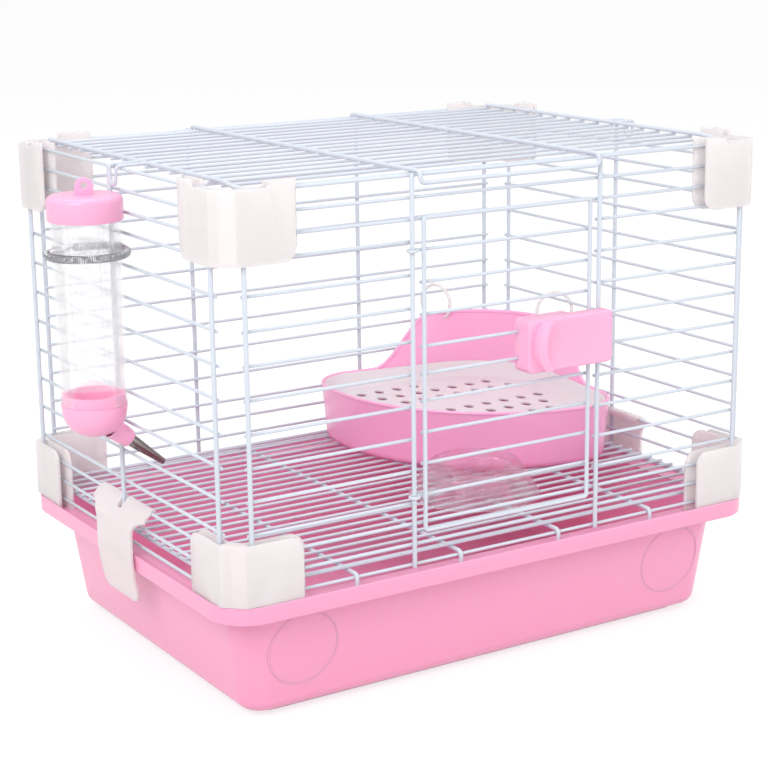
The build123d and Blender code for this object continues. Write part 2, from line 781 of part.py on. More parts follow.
back_wall = wall_point(Vector(-1, 0, 0))
right_wall = wall_point(Vector(0, -1, 0))
ring_z = levels[ring_level]
back_ring_at, back_ring_dir = ring_hole((back_wall.X, hinge_y, ring_z), Vector(0, -1, 0), ring_turn)
right_ring_at, right_ring_dir = ring_hole((-side - cross_step, right_wall.Y, ring_z), Vector(-1, 0, 0), -ring_turn)


def hanging_ring(centre, plane_dir):
    across = plane_dir.cross(Vector(0, 0, 1))
    return Plane(origin=centre, z_dir=across) * Torus(ring_radius, ring_wire / 2)


def hole_through(centre, plane_dir, wall, wall_out):
    """A round hole where the ring's circle crosses the middle of the pan's wall."""
    skin_mid = wall + wall_out * ((ring_z - pan_low - pan_rim - 18) * pan_lean - pan_skin / 2)
    reach = (skin_mid - centre).dot(wall_out) / plane_dir.dot(wall_out)
    drop = math.sqrt(ring_radius**2 - reach**2)
    spot = centre + plane_dir * reach - Vector(0, 0, drop)
    return extrude(Plane(origin=spot - wall_out * 6, z_dir=wall_out) * Circle(4.2), amount=12)


def litter_pan():
    outer = extrude(pan_plan(pan_rim * pan_lean), amount=pan_wall, taper=-pan_taper)
    outer = fillet(outer.faces().sort_by(Axis.Z)[0].edges(), 6)
    inner = Pos(0, 0, pan_skin) * extrude(
        pan_plan((pan_rim - pan_skin) * pan_lean + pan_skin), amount=pan_wall, taper=-pan_taper
    )
    inner = fillet(inner.faces().sort_by(Axis.Z)[0].edges(), 4)
    shell = outer - inner
    top_reach = 76 / math.sqrt(2)
    rim_reach = 130 / math.sqrt(2)
    cut = make_face(
        Polyline((top_reach, pan_wall + 1), (rim_reach, pan_rim), (400, pan_rim), (400, pan_wall + 1), close=True)
    )
    diagonal = Plane(origin=(0, 0, 0), x_dir=Vector(-1, -1, 0).normalized(), z_dir=Vector(-1, 1, 0))
    if diagonal.y_dir.Z < 0:
        diagonal = Plane(origin=(0, 0, 0), x_dir=Vector(-1, -1, 0).normalized(), z_dir=Vector(1, -1, 0))
    shell -= extrude(diagonal * cut, amount=300, both=True)
    ledge = Pos(0, 0, pan_rim - grate_drop - 3) * extrude(
        pan_plan((grate_drop + 3) * pan_lean + pan_skin - 0.4), amount=2, taper=-pan_taper
    )
    ledge -= Pos(0, 0, pan_rim - grate_drop - 4) * extrude(pan_plan(8), amount=4)
    shell += ledge
    back_out = Vector(0, 1, 0).rotate(Axis.Z, pan_turn)
    right_out = Vector(1, 0, 0).rotate(Axis.Z, pan_turn)
    pan = pan_place * shell
    pan -= hole_through(back_ring_at, back_ring_dir, back_wall, back_out)
    pan -= hole_through(right_ring_at, right_ring_dir, right_wall, right_out)
    return pan


def litter_grate():
    low = pan_rim - grate_drop - 1 + grip_gap
    fit = pan_skin + clear
    outer = extrude(pan_plan((pan_rim - low) * pan_lean + fit), amount=grate_drop, taper=-pan_taper)
    dish = Pos(0, 0, 2) * extrude(pan_plan((pan_rim - low) * pan_lean + fit + 9), amount=grate_drop, taper=-38)
    plate = outer - dish
    for row in range(9):
        if row == 4:
            continue
        y = -32 - row * 13.5
        shift = 7 if row % 2 else 0
        for column in range(9):
            x = -24 - shift - column * 14.2
            inside = Vector(x, y).length > 52 and Vector(x + 52, y + 40).length < 100
            if inside and x > -150 and Vector(x + 49, y + 37).length < 92:
                plate -= Pos(x, y, 0) * extrude(SlotOverall(7, 3.6), amount=5)
    return pan_place * Pos(0, 0, low) * plate


write("litter_pan", litter_pan())
write("litter_grate", litter_grate())
write("back_pan_ring", hanging_ring(back_ring_at, back_ring_dir))
write("right_pan_ring", hanging_ring(right_ring_at, right_ring_dir))


# The food bowl: a dish hung inside a flared skirt
def food_bowl():
    inner = bowl_rim_radius - bowl_skin
    profile = make_face(
        Polyline(
            (0, 4), (24, 4), (27.5, 6), (inner, bowl_height - 1), (bowl_rim_radius - 0.8, bowl_height),
            (bowl_rim_radius + 0.6, bowl_height - 0.8), (bowl_base_radius, 0), (bowl_base_radius - 2.2, 0),
            (inner + 2.2, bowl_height - 5), (29.2, 5), (25, 2.2), (0, 2.2), close=True,
        )
    )
    chord = pan_leg * math.sqrt(2)
    bulge_radius = (chord**2 / 4 + pan_bulge**2) / (2 * pan_bulge)
    bulge_at = (bulge_radius - chord / 2 - pan_bulge) / math.sqrt(2)
    bulge_middle = (pan_place * Pos(bulge_at, bulge_at)).position
    spot = Vector(1, 0).rotate(Axis.Z, bowl_bearing) * (bulge_radius + bowl_base_radius + bowl_gap)
    bowl = revolve(Plane.XZ * profile, axis=Axis.Z)
    return Pos(bulge_middle.X + spot.X, bulge_middle.Y + spot.Y, grille_top + grip_gap) * bowl


write("food_bowl", food_bowl())
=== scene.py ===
# %% [markdown]
# A small rodent cage: white wire panels stand on a deep pink tray and meet in milky plastic corners.
# Inside lie a wire floor, a clear food bowl and a pink corner pan; a bottle hangs on the left side.
# The frame holds the solids at their real size, and every piece here is built around them.

# %% Load the frame and bake its placements into the solids
import math

import bmesh
import bpy
from mathutils import Matrix, Vector


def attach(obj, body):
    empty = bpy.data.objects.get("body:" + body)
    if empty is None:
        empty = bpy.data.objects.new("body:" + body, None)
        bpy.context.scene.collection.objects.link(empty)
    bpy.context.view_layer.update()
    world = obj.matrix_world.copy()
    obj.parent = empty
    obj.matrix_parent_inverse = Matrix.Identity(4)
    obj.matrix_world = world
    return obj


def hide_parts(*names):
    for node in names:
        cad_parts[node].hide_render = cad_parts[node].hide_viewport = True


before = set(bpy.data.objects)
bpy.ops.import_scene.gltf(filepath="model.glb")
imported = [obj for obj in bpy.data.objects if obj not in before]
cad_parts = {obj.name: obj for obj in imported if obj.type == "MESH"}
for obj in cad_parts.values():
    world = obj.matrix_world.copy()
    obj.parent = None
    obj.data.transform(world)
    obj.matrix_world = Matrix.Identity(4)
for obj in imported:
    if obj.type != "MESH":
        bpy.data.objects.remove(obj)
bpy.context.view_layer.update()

# %% [markdown]
# All sizes below are real millimetres, because that is how a maker would give them.
# Each piece is shaped in millimetres and brought to metres in one place, when it becomes an object.

# %% Sizes shared by several pieces
CAGE_WIDTH = 400.0
CAGE_DEPTH = 315.0
CORNER_STEP = 15.0
WIRE_BASE = 93.0
SNUG = 0.1
THIN_WIRE = 2.3
BAR_WIRE = 3.0
THICK_WIRE = 3.2
WELD = 0.1
WIRE_END = 1.5
BAY_LEFT = -78.2
BAY_RIGHT = 73.4
FRONT = -CAGE_DEPTH / 2
SIDE = -CAGE_WIDTH / 2 - CORNER_STEP
CROSS_STEP = (THICK_WIRE + THIN_WIRE) / 2 - WELD
PITCHES = [14.2] * 3 + [21.85] * 8 + [14.2] * 3
LEVELS = [WIRE_BASE + sum(PITCHES[:count]) for count in range(len(PITCHES) + 1)]
CAGE_TOP = LEVELS[-1]
print("wire levels:", [round(level, 1) for level in LEVELS])

# %% [markdown]
# A finish is one shader with settings. Colours are picked as sRGB hex values, as from a screen,
# and the shader wants linear light, so one function converts them.
# A wave goes into the surface as bump, scaled from its real size.


# %% Colours, nodes and finishes
def linear(hex_colour):
    """An sRGB hex colour as linear light."""
    parts = [int(hex_colour[at : at + 2], 16) / 255 for at in (1, 3, 5)]
    return [part / 12.92 if part <= 0.04045 else ((part + 0.055) / 1.055) ** 2.4 for part in parts] + [1.0]


def add_node(tree, kind, settings=(), links=()):
    """Adds a node, fills its sockets or properties, and links others into it."""
    node = tree.nodes.new(kind)
    for key, value in dict(settings).items():
        if key in node.inputs:
            node.inputs[key].default_value = value
        else:
            setattr(node, key, value)
    for key, socket in dict(links).items():
        tree.links.new(socket, node.inputs[key])
    return node


def finish(name, colour, roughness, wave_mm=0.0, wave_depth_mm=0.0, **sockets):
    """A material: its colour and gloss, and a slow wave from moulding or coating."""
    made = bpy.data.materials.new(name)
    made.use_nodes = True
    tree = made.node_tree
    shader = tree.nodes["Principled BSDF"]
    shader.inputs["Base Color"].default_value = linear(colour)
    shader.inputs["Roughness"].default_value = roughness
    for key, value in sockets.items():
        shader.inputs[key.replace("_", " ")].default_value = value
    place = add_node(tree, "ShaderNodeTexCoord").outputs["Object"]
    if wave_mm:
        values = {"Scale": 1000 / wave_mm, "Detail": 1.0}
        noise = add_node(tree, "ShaderNodeTexNoise", values, {"Vector": place})
        links = {"Height": noise.outputs["Fac"]}
        bump = add_node(tree, "ShaderNodeBump", {"Distance": wave_depth_mm / 1000}, links)
        tree.links.new(bump.outputs["Normal"], shader.inputs["Normal"])
    return made


# White polyester powder coat on steel: cool and even, with a soft gloss and a faint orange peel.
powder_coat = finish("powder_coated_steel", "#D0D7E1", 0.3, wave_mm=1.5, wave_depth_mm=0.02, IOR=1.5)
# Moulded ABS, pink right through: a clean gloss, and light goes a little way into it.
tray_abs = finish(
    "pink_abs", "#F9A6C8", 0.24, wave_mm=45.0, wave_depth_mm=0.1, IOR=1.53,
    Subsurface_Weight=0.3, Subsurface_Radius=(1.0, 0.35, 0.55), Subsurface_Scale=0.004,
)
# Milky polypropylene: so thin that the wires behind it show, as alpha lets some light straight on.
milky_pp = finish(
    "milky_polypropylene", "#F5EEEE", 0.32, wave_mm=14.0, wave_depth_mm=0.05, IOR=1.49, Alpha=0.72,
    Subsurface_Weight=0.4, Subsurface_Radius=(1.0, 0.9, 0.85), Subsurface_Scale=0.004,
)
# Pale pink polypropylene of the latch and the cap, satin from a polished mould.
pale_pp = finish(
    "pale_pink_polypropylene", "#FFB3D5", 0.28, wave_mm=18.0, wave_depth_mm=0.05, IOR=1.49,
    Subsurface_Weight=0.25, Subsurface_Radius=(1.0, 0.5, 0.7), Subsurface_Scale=0.003,
)
# Clear polystyrene: bright edges and a hardly tinted body. A low alpha stands for its thin wall,
# because light that goes straight through leaves no dark shadow under the bowl.
clear_ps = finish(
    "clear_polystyrene", "#FFFDFE", 0.05, wave_mm=16.0, wave_depth_mm=0.04, IOR=1.45,
    Transmission_Weight=1.0, Alpha=0.3,
)
# Stronger pink ABS of the pan.
pan_abs = finish(
    "bright_pink_abs", "#FFB0D8", 0.22, wave_mm=40.0, wave_depth_mm=0.1, IOR=1.53,
    Subsurface_Weight=0.25, Subsurface_Radius=(1.0, 0.35, 0.6), Subsurface_Scale=0.003,
)
# White polypropylene of the grate: the alpha gives it a blush from the pink pan beneath it.
white_pp = finish(
    "white_polypropylene", "#F8EEF2", 0.36, IOR=1.49, Alpha=0.75,
    Subsurface_Weight=0.2, Subsurface_Scale=0.002,
)
# Drawn stainless steel of the drinking tube, dark because it mirrors the cage.
stainless = finish("stainless_steel", "#8D8481", 0.24, Metallic=1.0)
# Zinc-plated spring wire, a little duller than the tube.
spring_steel = finish("zinc_plated_wire", "#B4B6BA", 0.3, Metallic=1.0)
print("finishes:", len(bpy.data.materials))

# %% [markdown]
# Every piece ends the same way: a soft look on curves and a crisp one on corners.
# `piece` does that, gives the finish, lets it ride on its body and hides the solid it stands for.


# %% From a shape in millimetres to a piece
def piece(bm, name, material, body, *nodes, crisp=35):
    """Turns a shape into an object of the cage."""
    bmesh.ops.scale(bm, vec=(0.001,) * 3, verts=bm.verts)
    for face in bm.faces:
        face.smooth = True
    for edge in bm.edges:
        edge.smooth = edge.is_manifold and edge.calc_face_angle(0) < math.radians(crisp)
    mesh = bpy.data.meshes.new(name)
    bm.to_mesh(mesh)
    bm.free()
    made = bpy.data.objects.new(name, mesh)
    bpy.context.scene.collection.objects.link(made)
    mesh.materials.append(material)
    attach(made, body)
    if nodes:
        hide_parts(*nodes)
    print(name, len(mesh.polygons), "faces")
    return made


# %% [markdown]
# Wire is the main thing here. A straight one is a cylinder whose cut ends are a little rounded.
# A bent one starts as a ring of vertices, which is extruded from point to point along its path.
# Each extrusion turns the ring with the path, so the wire keeps its thickness round the bends.


# %% Straight and bent wires
def straight_wire(bm, start, end, diameter, sides=14):
    """A straight wire between two points."""
    start, end = Vector(start), Vector(end)
    run = end - start
    place = Matrix.Translation((start + end) / 2) @ run.to_track_quat("Z", "Y").to_matrix().to_4x4()
    radius = diameter / 2
    made = bmesh.ops.create_cone(
        bm, cap_ends=True, segments=sides, radius1=radius, radius2=radius, depth=run.length, matrix=place
    )
    faces = {face for vert in made["verts"] for face in vert.link_faces if len(face.verts) > 4}
    rims = list({edge for face in faces for edge in face.edges})
    bmesh.ops.bevel(
        bm, geom=rims, offset=diameter * 0.14, segments=2, profile=0.5, affect="EDGES", material=-1
    )


def rounded_path(points, bend, steps=6):
    """The path through the points, with an arc in place of each inner one."""
    points = [Vector(point) for point in points]
    path = [points[0]]
    for before, corner, after in zip(points, points[1:], points[2:]):
        back = (before - corner).normalized()
        ahead = (after - corner).normalized()
        half = back.angle(ahead) / 2
        reach = bend / math.tan(half)
        centre = corner + (back + ahead).normalized() * (bend / math.sin(half))
        first = corner + back * reach - centre
        last = corner + ahead * reach - centre
        turn = first.rotation_difference(last)
        for step in range(steps + 1):
            path.append(centre + Matrix.Rotation(turn.angle * step / steps, 3, turn.axis) @ first)
    return path + [points[-1]]


def swept_wire(bm, path, diameter, sides=12):
    """A wire along a path: one ring, extruded from each point to the next."""
    path = [Vector(point) for point in path]
    tangents = [(after - before).normalized() for before, after in zip(path, path[1:])]
    tangents = [tangents[0]] + [(a + b).normalized() for a, b in zip(tangents, tangents[1:])] + [tangents[-1]]
    turn = tangents[0].to_track_quat("Z", "Y")
    place = Matrix.Translation(path[0]) @ turn.to_matrix().to_4x4()
    ring = bmesh.ops.create_circle(bm, cap_ends=False, segments=sides, radius=diameter / 2, matrix=place)
    edges = list({edge for vert in ring["verts"] for edge in vert.link_edges})
    bmesh.ops.edgeloop_fill(bm, edges=edges)
    for spot, tangent, before in zip(path[1:], tangents[1:], tangents):
        turn = before.rotation_difference(tangent) @ turn
        following = Matrix.Translation(spot) @ turn.to_matrix().to_4x4()
        grown = bmesh.ops.extrude_edge_only(bm, edges=edges)["geom"]
        verts = [part for part in grown if isinstance(part, bmesh.types.BMVert)]
        edges = [part for part in grown if isinstance(part, bmesh.types.BMEdge)]
        bmesh.ops.transform(bm, matrix=following @ place.inverted(), verts=verts)
        place = following
    bmesh.ops.edgeloop_fill(bm, edges=edges)


def ring_wire(bm, centre, axis, radius, diameter, steps=40, sides=12):
    """A closed ring: a small circle spun all the way round."""
    axis = Vector(axis).normalized()
    out = axis.orthogonal().normalized()
    along = axis.cross(out).to_track_quat("Z", "Y").to_matrix().to_4x4()
    place = Matrix.Translation(Vector(centre) + out * radius) @ along
    ring = bmesh.ops.create_circle(bm, cap_ends=False, segments=sides, radius=diameter / 2, matrix=place)
    edges = list({edge for vert in ring["verts"] for edge in vert.link_edges})
    bmesh.ops.spin(
        bm, geom=ring["verts"] + edges, cent=centre, axis=axis, angle=math.tau, steps=steps, use_merge=True
    )


def outward(bm):
    """Merges doubles and turns every face outwards."""
    bmesh.ops.remove_doubles(bm, verts=bm.verts, dist=0.005)
    bmesh.ops.recalc_face_normals(bm, faces=bm.faces)


print("thinnest wire:", THIN_WIRE, "mm")

# %% [markdown]
# The four wire panels. The uprights are the thicker wires, and the thin ones are welded across
# behind them, closer together near the bottom and the top. The front leaves the doorway open.

# %% The panels
FRONT_UPRIGHTS = [-CAGE_WIDTH / 2, BAY_LEFT, BAY_RIGHT, CAGE_WIDTH / 2]
SIDE_HALF = CAGE_DEPTH / 2 - CORNER_STEP


def panel(name, half, uprights, across_x, out, doorway=False):
    """One wire panel, lying along X or along Y."""
    bm = bmesh.new()

    def at(along, depth, z):
        place = out - math.copysign(depth, out)
        return (along, place, z) if across_x else (place, along, z)

    for along in uprights:
        straight_wire(bm, at(along, 0, LEVELS[0] - 1.6), at(along, 0, CAGE_TOP + 1.6), THICK_WIRE, sides=16)
    for number, z in enumerate(LEVELS):
        ends = [-half - WIRE_END, half + WIRE_END]
        if doorway and 3 <= number <= 11:
            ends = [ends[0], BAY_LEFT + WIRE_END, BAY_RIGHT - WIRE_END, ends[1]]
        for start, end in zip(ends[::2], ends[1::2]):
            straight_wire(bm, at(start, CROSS_STEP, z), at(end, CROSS_STEP, z), THIN_WIRE)
    outward(bm)
    piece(bm, name, powder_coat, "cage", name)


panel("front_panel", CAGE_WIDTH / 2, FRONT_UPRIGHTS, True, FRONT, doorway=True)
panel("back_panel", CAGE_WIDTH / 2, FRONT_UPRIGHTS, True, -FRONT)
panel("left_panel", SIDE_HALF, [-SIDE_HALF, 0, SIDE_HALF], False, SIDE)
panel("right_panel", SIDE_HALF, [-SIDE_HALF, 0, SIDE_HALF], False, -SIDE)

# %% [markdown]
# The roof is one lid. Two hoops run from front to back: their back ends curl round the back
# panel's top wire as hinge eyes, and their front ends turn down into a lip that stops the door.
# Loops at both sides reach over the side panels and hang down, to keep the lid from sliding.

# %% The roof lid
ROOF_Z = CAGE_TOP + THIN_WIRE / 2 + SNUG + BAR_WIRE / 2
ROOF_PITCH = 18.0
HINGE_Y = -FRONT - CROSS_STEP
HOOPS = [BAY_LEFT + 4.2, BAY_RIGHT - 4.0]
ROOF_HALF = 195.0
ROOF_FRONT = 148.5
ROOF_BACK = 145.0
LIP_Y = FRONT - THICK_WIRE / 2 - BAR_WIRE / 2 - 0.6
LIP_Z = 348.3

bm = bmesh.new()
low_z = ROOF_Z - (BAR_WIRE + THIN_WIRE) / 2 + WELD
edge_z = ROOF_Z - BAR_WIRE + WELD
for number in range(15):
    y = (number - 7) * ROOF_PITCH
    straight_wire(bm, (-ROOF_HALF - 2, y, low_z), (ROOF_HALF + 2, y, low_z), THIN_WIRE)
straight_wire(bm, (-ROOF_HALF - 2, ROOF_BACK, edge_z), (ROOF_HALF + 2, ROOF_BACK, edge_z), BAR_WIRE)
frame_path = rounded_path(
    [
        (-ROOF_HALF, ROOF_BACK + 2, ROOF_Z),
        (-ROOF_HALF, -ROOF_FRONT + 26, ROOF_Z),
        (-ROOF_HALF, -ROOF_FRONT, edge_z),
        (ROOF_HALF, -ROOF_FRONT, edge_z),
        (ROOF_HALF, -ROOF_FRONT + 26, ROOF_Z),
        (ROOF_HALF, ROOF_BACK + 2, ROOF_Z),
    ],
    12.0,
    steps=8,
)
swept_wire(bm, frame_path, BAR_WIRE)
HOOK_DROP = 12.5
catch_z = CAGE_TOP + THIN_WIRE + SNUG
for way in (-1, 1):
    near, far = way * (ROOF_HALF + 1.4), way * (-SIDE + 2.4)
    hook = [(near, -6, catch_z), (far, -6, catch_z), (far, -8, catch_z - HOOK_DROP)]
    hook += [(far, -15, catch_z - HOOK_DROP), (far, -17, catch_z), (near, -17, catch_z)]
    swept_wire(bm, rounded_path(hook, 2.6), THIN_WIRE)
hoop_path = [
    (HOOPS[0], HINGE_Y, ROOF_Z),
    (HOOPS[0], LIP_Y, ROOF_Z),
    (HOOPS[0], LIP_Y, LIP_Z),
    (HOOPS[1], LIP_Y, LIP_Z),
    (HOOPS[1], LIP_Y, ROOF_Z),
    (HOOPS[1], HINGE_Y, ROOF_Z),
]
swept_wire(bm, rounded_path(hoop_path, 3.6), BAR_WIRE, sides=14)
for x in HOOPS:
    ring_wire(bm, (x, HINGE_Y, CAGE_TOP), (1, 0, 0), (THIN_WIRE + BAR_WIRE) / 2 + SNUG, BAR_WIRE, steps=24)
outward(bm)
piece(bm, "roof_lid", powder_coat, "lid", "roof_lid")

# %% [markdown]
# The door is a frame of thicker wire with thin ones welded inside it. The lowest and the highest
# thin wire end in loops round the doorway's left upright, and that is all its hinge is.

# %% The door
DOOR_LEFT = -69.6
DOOR_RIGHT = 65.1
DOOR_LOW = WIRE_BASE + 23.0
DOOR_HIGH = WIRE_BASE + 232.5
LATCH_Z = WIRE_BASE + 138.65
DOOR_Y = FRONT + CROSS_STEP - THIN_WIRE / 2 - BAR_WIRE / 2 - 0.3
DOOR_WIRE_Y = DOOR_Y + (BAR_WIRE + THIN_WIRE) / 2 - WELD
LATCH_WIRES = [LATCH_Z - 9.15, LATCH_Z + 9.15]
DOOR_LEVELS = [LATCH_WIRES[0] - 18.3 - 21.3 * step for step in (3, 2, 1, 0)] + LATCH_WIRES
DOOR_LEVELS += [LATCH_WIRES[1] + 21.3 * step for step in (1, 2, 3)]

bm = bmesh.new()
corners = [
    (0, DOOR_Y, DOOR_LOW),
    (DOOR_RIGHT, DOOR_Y, DOOR_LOW),
    (DOOR_RIGHT, DOOR_Y, DOOR_HIGH),
    (DOOR_LEFT, DOOR_Y, DOOR_HIGH),
    (DOOR_LEFT, DOOR_Y, DOOR_LOW),
    (0, DOOR_Y, DOOR_LOW),
]
swept_wire(bm, rounded_path(corners, 2.2, steps=5), BAR_WIRE, sides=14)
loop_radius = THICK_WIRE / 2 + SNUG + THIN_WIRE / 2
for number, z in enumerate(DOOR_LEVELS):
    start = DOOR_LEFT - WIRE_END
    if number in (0, len(DOOR_LEVELS) - 1):
        start = BAY_LEFT + math.sqrt(loop_radius**2 - (DOOR_WIRE_Y - FRONT) ** 2)
        ring_wire(bm, (BAY_LEFT, FRONT, z), (0, 0, 1), loop_radius, THIN_WIRE, steps=24)
    straight_wire(bm, (start, DOOR_WIRE_Y, z), (DOOR_RIGHT + WIRE_END, DOOR_WIRE_Y, z), THIN_WIRE)
outward(bm)
piece(bm, "front_door", powder_coat, "door", "front_door")

# %% [markdown]
# The floor grille lies on the panels' bottom wires. Its inner cross wires run on past the edge
# and hook down in front of the panels, which keeps the floor in its place.

# %% The floor grille
GRILLE_CROSS_Z = LEVELS[0] + (THIN_WIRE + BAR_WIRE) / 2
GRILLE_Z = GRILLE_CROSS_Z + (THIN_WIRE + BAR_WIRE) / 2 - WELD
GRILLE_TOP = GRILLE_Z + THIN_WIRE / 2
GRILLE_PITCH = 12.2
GRILLE_EDGE = 12 * GRILLE_PITCH
GRILLE_END = 203.5
HOOK_PITCH = 82.2
HOOK_TIP_Z = 87.0

bm = bmesh.new()
for number in range(23):
    y = (number - 11) * GRILLE_PITCH
    straight_wire(bm, (-GRILLE_END - 2.5, y, GRILLE_Z), (GRILLE_END + 2.5, y, GRILLE_Z), THIN_WIRE)
edge_z = GRILLE_CROSS_Z + BAR_WIRE - WELD
hook_y = -FRONT - CROSS_STEP + THIN_WIRE / 2 + BAR_WIRE / 2 + 0.05
for way in (1, -1):
    y = way * GRILLE_EDGE
    straight_wire(bm, (-GRILLE_END - 1, y, edge_z), (GRILLE_END + 1, y, edge_z), BAR_WIRE)
    x = way * GRILLE_END
    half = GRILLE_EDGE + WIRE_END
    straight_wire(bm, (x, -half, GRILLE_CROSS_Z), (x, half, GRILLE_CROSS_Z), BAR_WIRE)
for step in (-1.5, -0.5, 0.5, 1.5):
    x = step * HOOK_PITCH
    hooks = [
        (x, -hook_y, HOOK_TIP_Z),
        (x, -hook_y, GRILLE_CROSS_Z),
        (x, hook_y, GRILLE_CROSS_Z),
        (x, hook_y, HOOK_TIP_Z),
    ]
    swept_wire(bm, rounded_path(hooks, 2.6), BAR_WIRE)
outward(bm)
piece(bm, "floor_grille", powder_coat, "cage", "floor_grille")

# %% [markdown]
# The tray is one deep moulding. Seen in section it is a line that wanders from the skirt over the
# rounded lip and the ledge, down the leaning wall and across the floor.
# That section is spun a quarter turn at each corner and drawn straight along each side.
# Rim, wall and foot have different corner radii, so each gets its own sweep, and bridges join them.

# %% Sweep a section round the tray
TRAY_LENGTH = 441.0
TRAY_WIDTH = 326.0
LEAN_ANGLE = 8.75
LEAN = math.tan(math.radians(LEAN_ANGLE))


def round_the_tray(bm, section, centre_inset, steps=10):
    """Sweeps a section of (inset from the rim, height) round four corners."""
    x, y = TRAY_LENGTH / 2 - centre_inset, TRAY_WIDTH / 2 - centre_inset
    verts = [bm.verts.new((x + centre_inset - inset, y, z)) for inset, z in section]
    edges = [bm.edges.new(pair) for pair in zip(verts, verts[1:])]
    started = set(bm.verts)
    ends = verts + edges
    corners = (((x, y), (-2 * x, 0)), ((-x, y), (0, -2 * y)), ((-x, -y), (2 * x, 0)), ((x, -y), (0, 2 * y)))
    for centre, run in corners:
        middle = (*centre, 0)
        spun = bmesh.ops.spin(bm, geom=ends, cent=middle, axis=(0, 0, 1), angle=math.pi / 2, steps=steps)
        rail = [part for part in spun["geom_last"] if isinstance(part, bmesh.types.BMEdge)]
        grown = bmesh.ops.extrude_edge_only(bm, edges=rail)["geom"]
        ends = [part for part in grown if not isinstance(part, bmesh.types.BMFace)]
        moved = [part for part in ends if isinstance(part, bmesh.types.BMVert)]
        bmesh.ops.translate(bm, vec=(*run, 0), verts=moved)
    bmesh.ops.remove_doubles(bm, verts=bm.verts, dist=0.005)


def arc(centre, radius, start, end, steps):
    """Points on an arc of a section, angles in degrees."""
    angles = [math.radians(start + (end - start) * step / steps) for step in range(steps + 1)]
    return [(centre[0] + radius * math.cos(a), centre[1] + radius * math.sin(a)) for a in angles]


def loops_of(bm):
    """The open loops as lists of edges."""
    loose = {edge for edge in bm.edges if edge.is_boundary}
    loops = []
    while loose:
        loop = [loose.pop()]
        front = list(loop[0].verts)
        while front:
            vert = front.pop()
            for edge in vert.link_edges:
                if edge in loose:
                    loose.remove(edge)
                    loop.append(edge)
                    front.append(edge.other_vert(vert))
        loops.append(loop)
    return loops


def far_right(loop):
    """How far to the right a loop reaches."""
    return max(vert.co.x for edge in loop for vert in edge.verts)


# %% [markdown]
# The tray's section has four stretches: the rim, both faces of the wall, and the foot it stands on.
# Two shallow round outlines are moulded into its front, near the corners.

# %% The base tray
RIM_TOP = WIRE_BASE - 3.0
RIM_LOW = WIRE_BASE - 15.0
LEDGE_TOP = WIRE_BASE - 6.5
LEDGE_LOW = LEDGE_TOP - 2.2
FLOOR = 3.5
TRAY_SKIN = 2.2
WALL_INSET = 15.0
LOW_INSET = WALL_INSET + (LEDGE_LOW - FLOOR) * LEAN
WALL_CENTRE = LOW_INSET + 16.0

rim_section = [(12.0, LEDGE_LOW), (3.2, LEDGE_LOW)] + arc((3.0, LEDGE_LOW - 0.8), 0.8, 90, 180, 3)
rim_section += [(2.2, RIM_LOW + 0.5)] + arc((1.1, RIM_LOW + 0.9), 1.0, 0, -180, 6)
rim_section += [(0.0, RIM_TOP - 1.2)] + arc((0.65, RIM_TOP - 0.7), 0.65, 180, 0, 6)
rim_section += [(1.3, LEDGE_TOP + 0.8)] + arc((2.1, LEDGE_TOP + 0.8), 0.8, 180, 270, 3) + [(12.0, LEDGE_TOP)]


def wall_line(skin, floor, rounding, steps):
    """The wall's section from its top to the floor, leaning in and rounding into the floor."""
    foot_inset = LOW_INSET + skin / math.cos(math.radians(LEAN_ANGLE)) - (floor - FLOOR) * LEAN
    centre = (foot_inset + rounding * math.tan(math.radians((90 - LEAN_ANGLE) / 2)), floor + rounding)
    return arc(centre, rounding, 180 + LEAN_ANGLE, 270, steps)


outer_wall = [(WALL_INSET, LEDGE_LOW)] + wall_line(0.0, FLOOR, 10.0, 8) + [(37.0, FLOOR)]
inner_wall = arc((WALL_INSET + TRAY_SKIN, LEDGE_TOP - 1.6), 1.6, 90, 180, 4)
inner_wall += wall_line(TRAY_SKIN, FLOOR + TRAY_SKIN, 7.8, 8) + [(LOW_INSET + 15.0, FLOOR + TRAY_SKIN)]

foot_section = [(39.0, FLOOR), (39.2, 0.5), (39.7, 0.0), (42.3, 0.0), (42.8, 0.5), (43.0, FLOOR)]

bm = bmesh.new()
round_the_tray(bm, rim_section, 28.0)
round_the_tray(bm, outer_wall, WALL_CENTRE)
round_the_tray(bm, inner_wall, WALL_CENTRE)
round_the_tray(bm, foot_section, 52.0)
print("open edges of the tray:", sum(edge.is_boundary for edge in bm.edges))

by_place = {}
for loop in loops_of(bm):
    place = (round(TRAY_LENGTH / 2 - far_right(loop), 1), round(loop[0].verts[0].co.z, 1))
    by_place[place] = loop
    print("open loop at inset and height", place, "with", len(loop), "edges")
joins = [
    ((12.0, LEDGE_LOW), (WALL_INSET, LEDGE_LOW)),
    ((12.0, LEDGE_TOP), (inner_wall[0][0], LEDGE_TOP)),
    ((37.0, FLOOR), (39.0, FLOOR)),
]
for pair in joins:
    first, second = [by_place[round(inset, 1), round(z, 1)] for inset, z in pair]
    bmesh.ops.bridge_loops(bm, edges=first + second)
for inset, z in ((43.0, FLOOR), (LOW_INSET + 15.0, FLOOR + TRAY_SKIN)):
    bmesh.ops.edgeloop_fill(bm, edges=by_place[round(inset, 1), round(z, 1)])
outward(bm)
OUTLINE_X = 156.0
OUTLINE_Z = 47.0
OUTLINE_SINK = 0.42
OUTLINE_AXIS = (0, -1, -0.154)
wall_y = -TRAY_WIDTH / 2 + LOW_INSET - (OUTLINE_Z - FLOOR) * LEAN
for x in (-OUTLINE_X, OUTLINE_X):
    ring_wire(bm, (x, wall_y + OUTLINE_SINK, OUTLINE_Z), OUTLINE_AXIS, 26.0, 1.4, steps=96)
piece(bm, "base_tray", tray_abs, "cage", "base_tray")

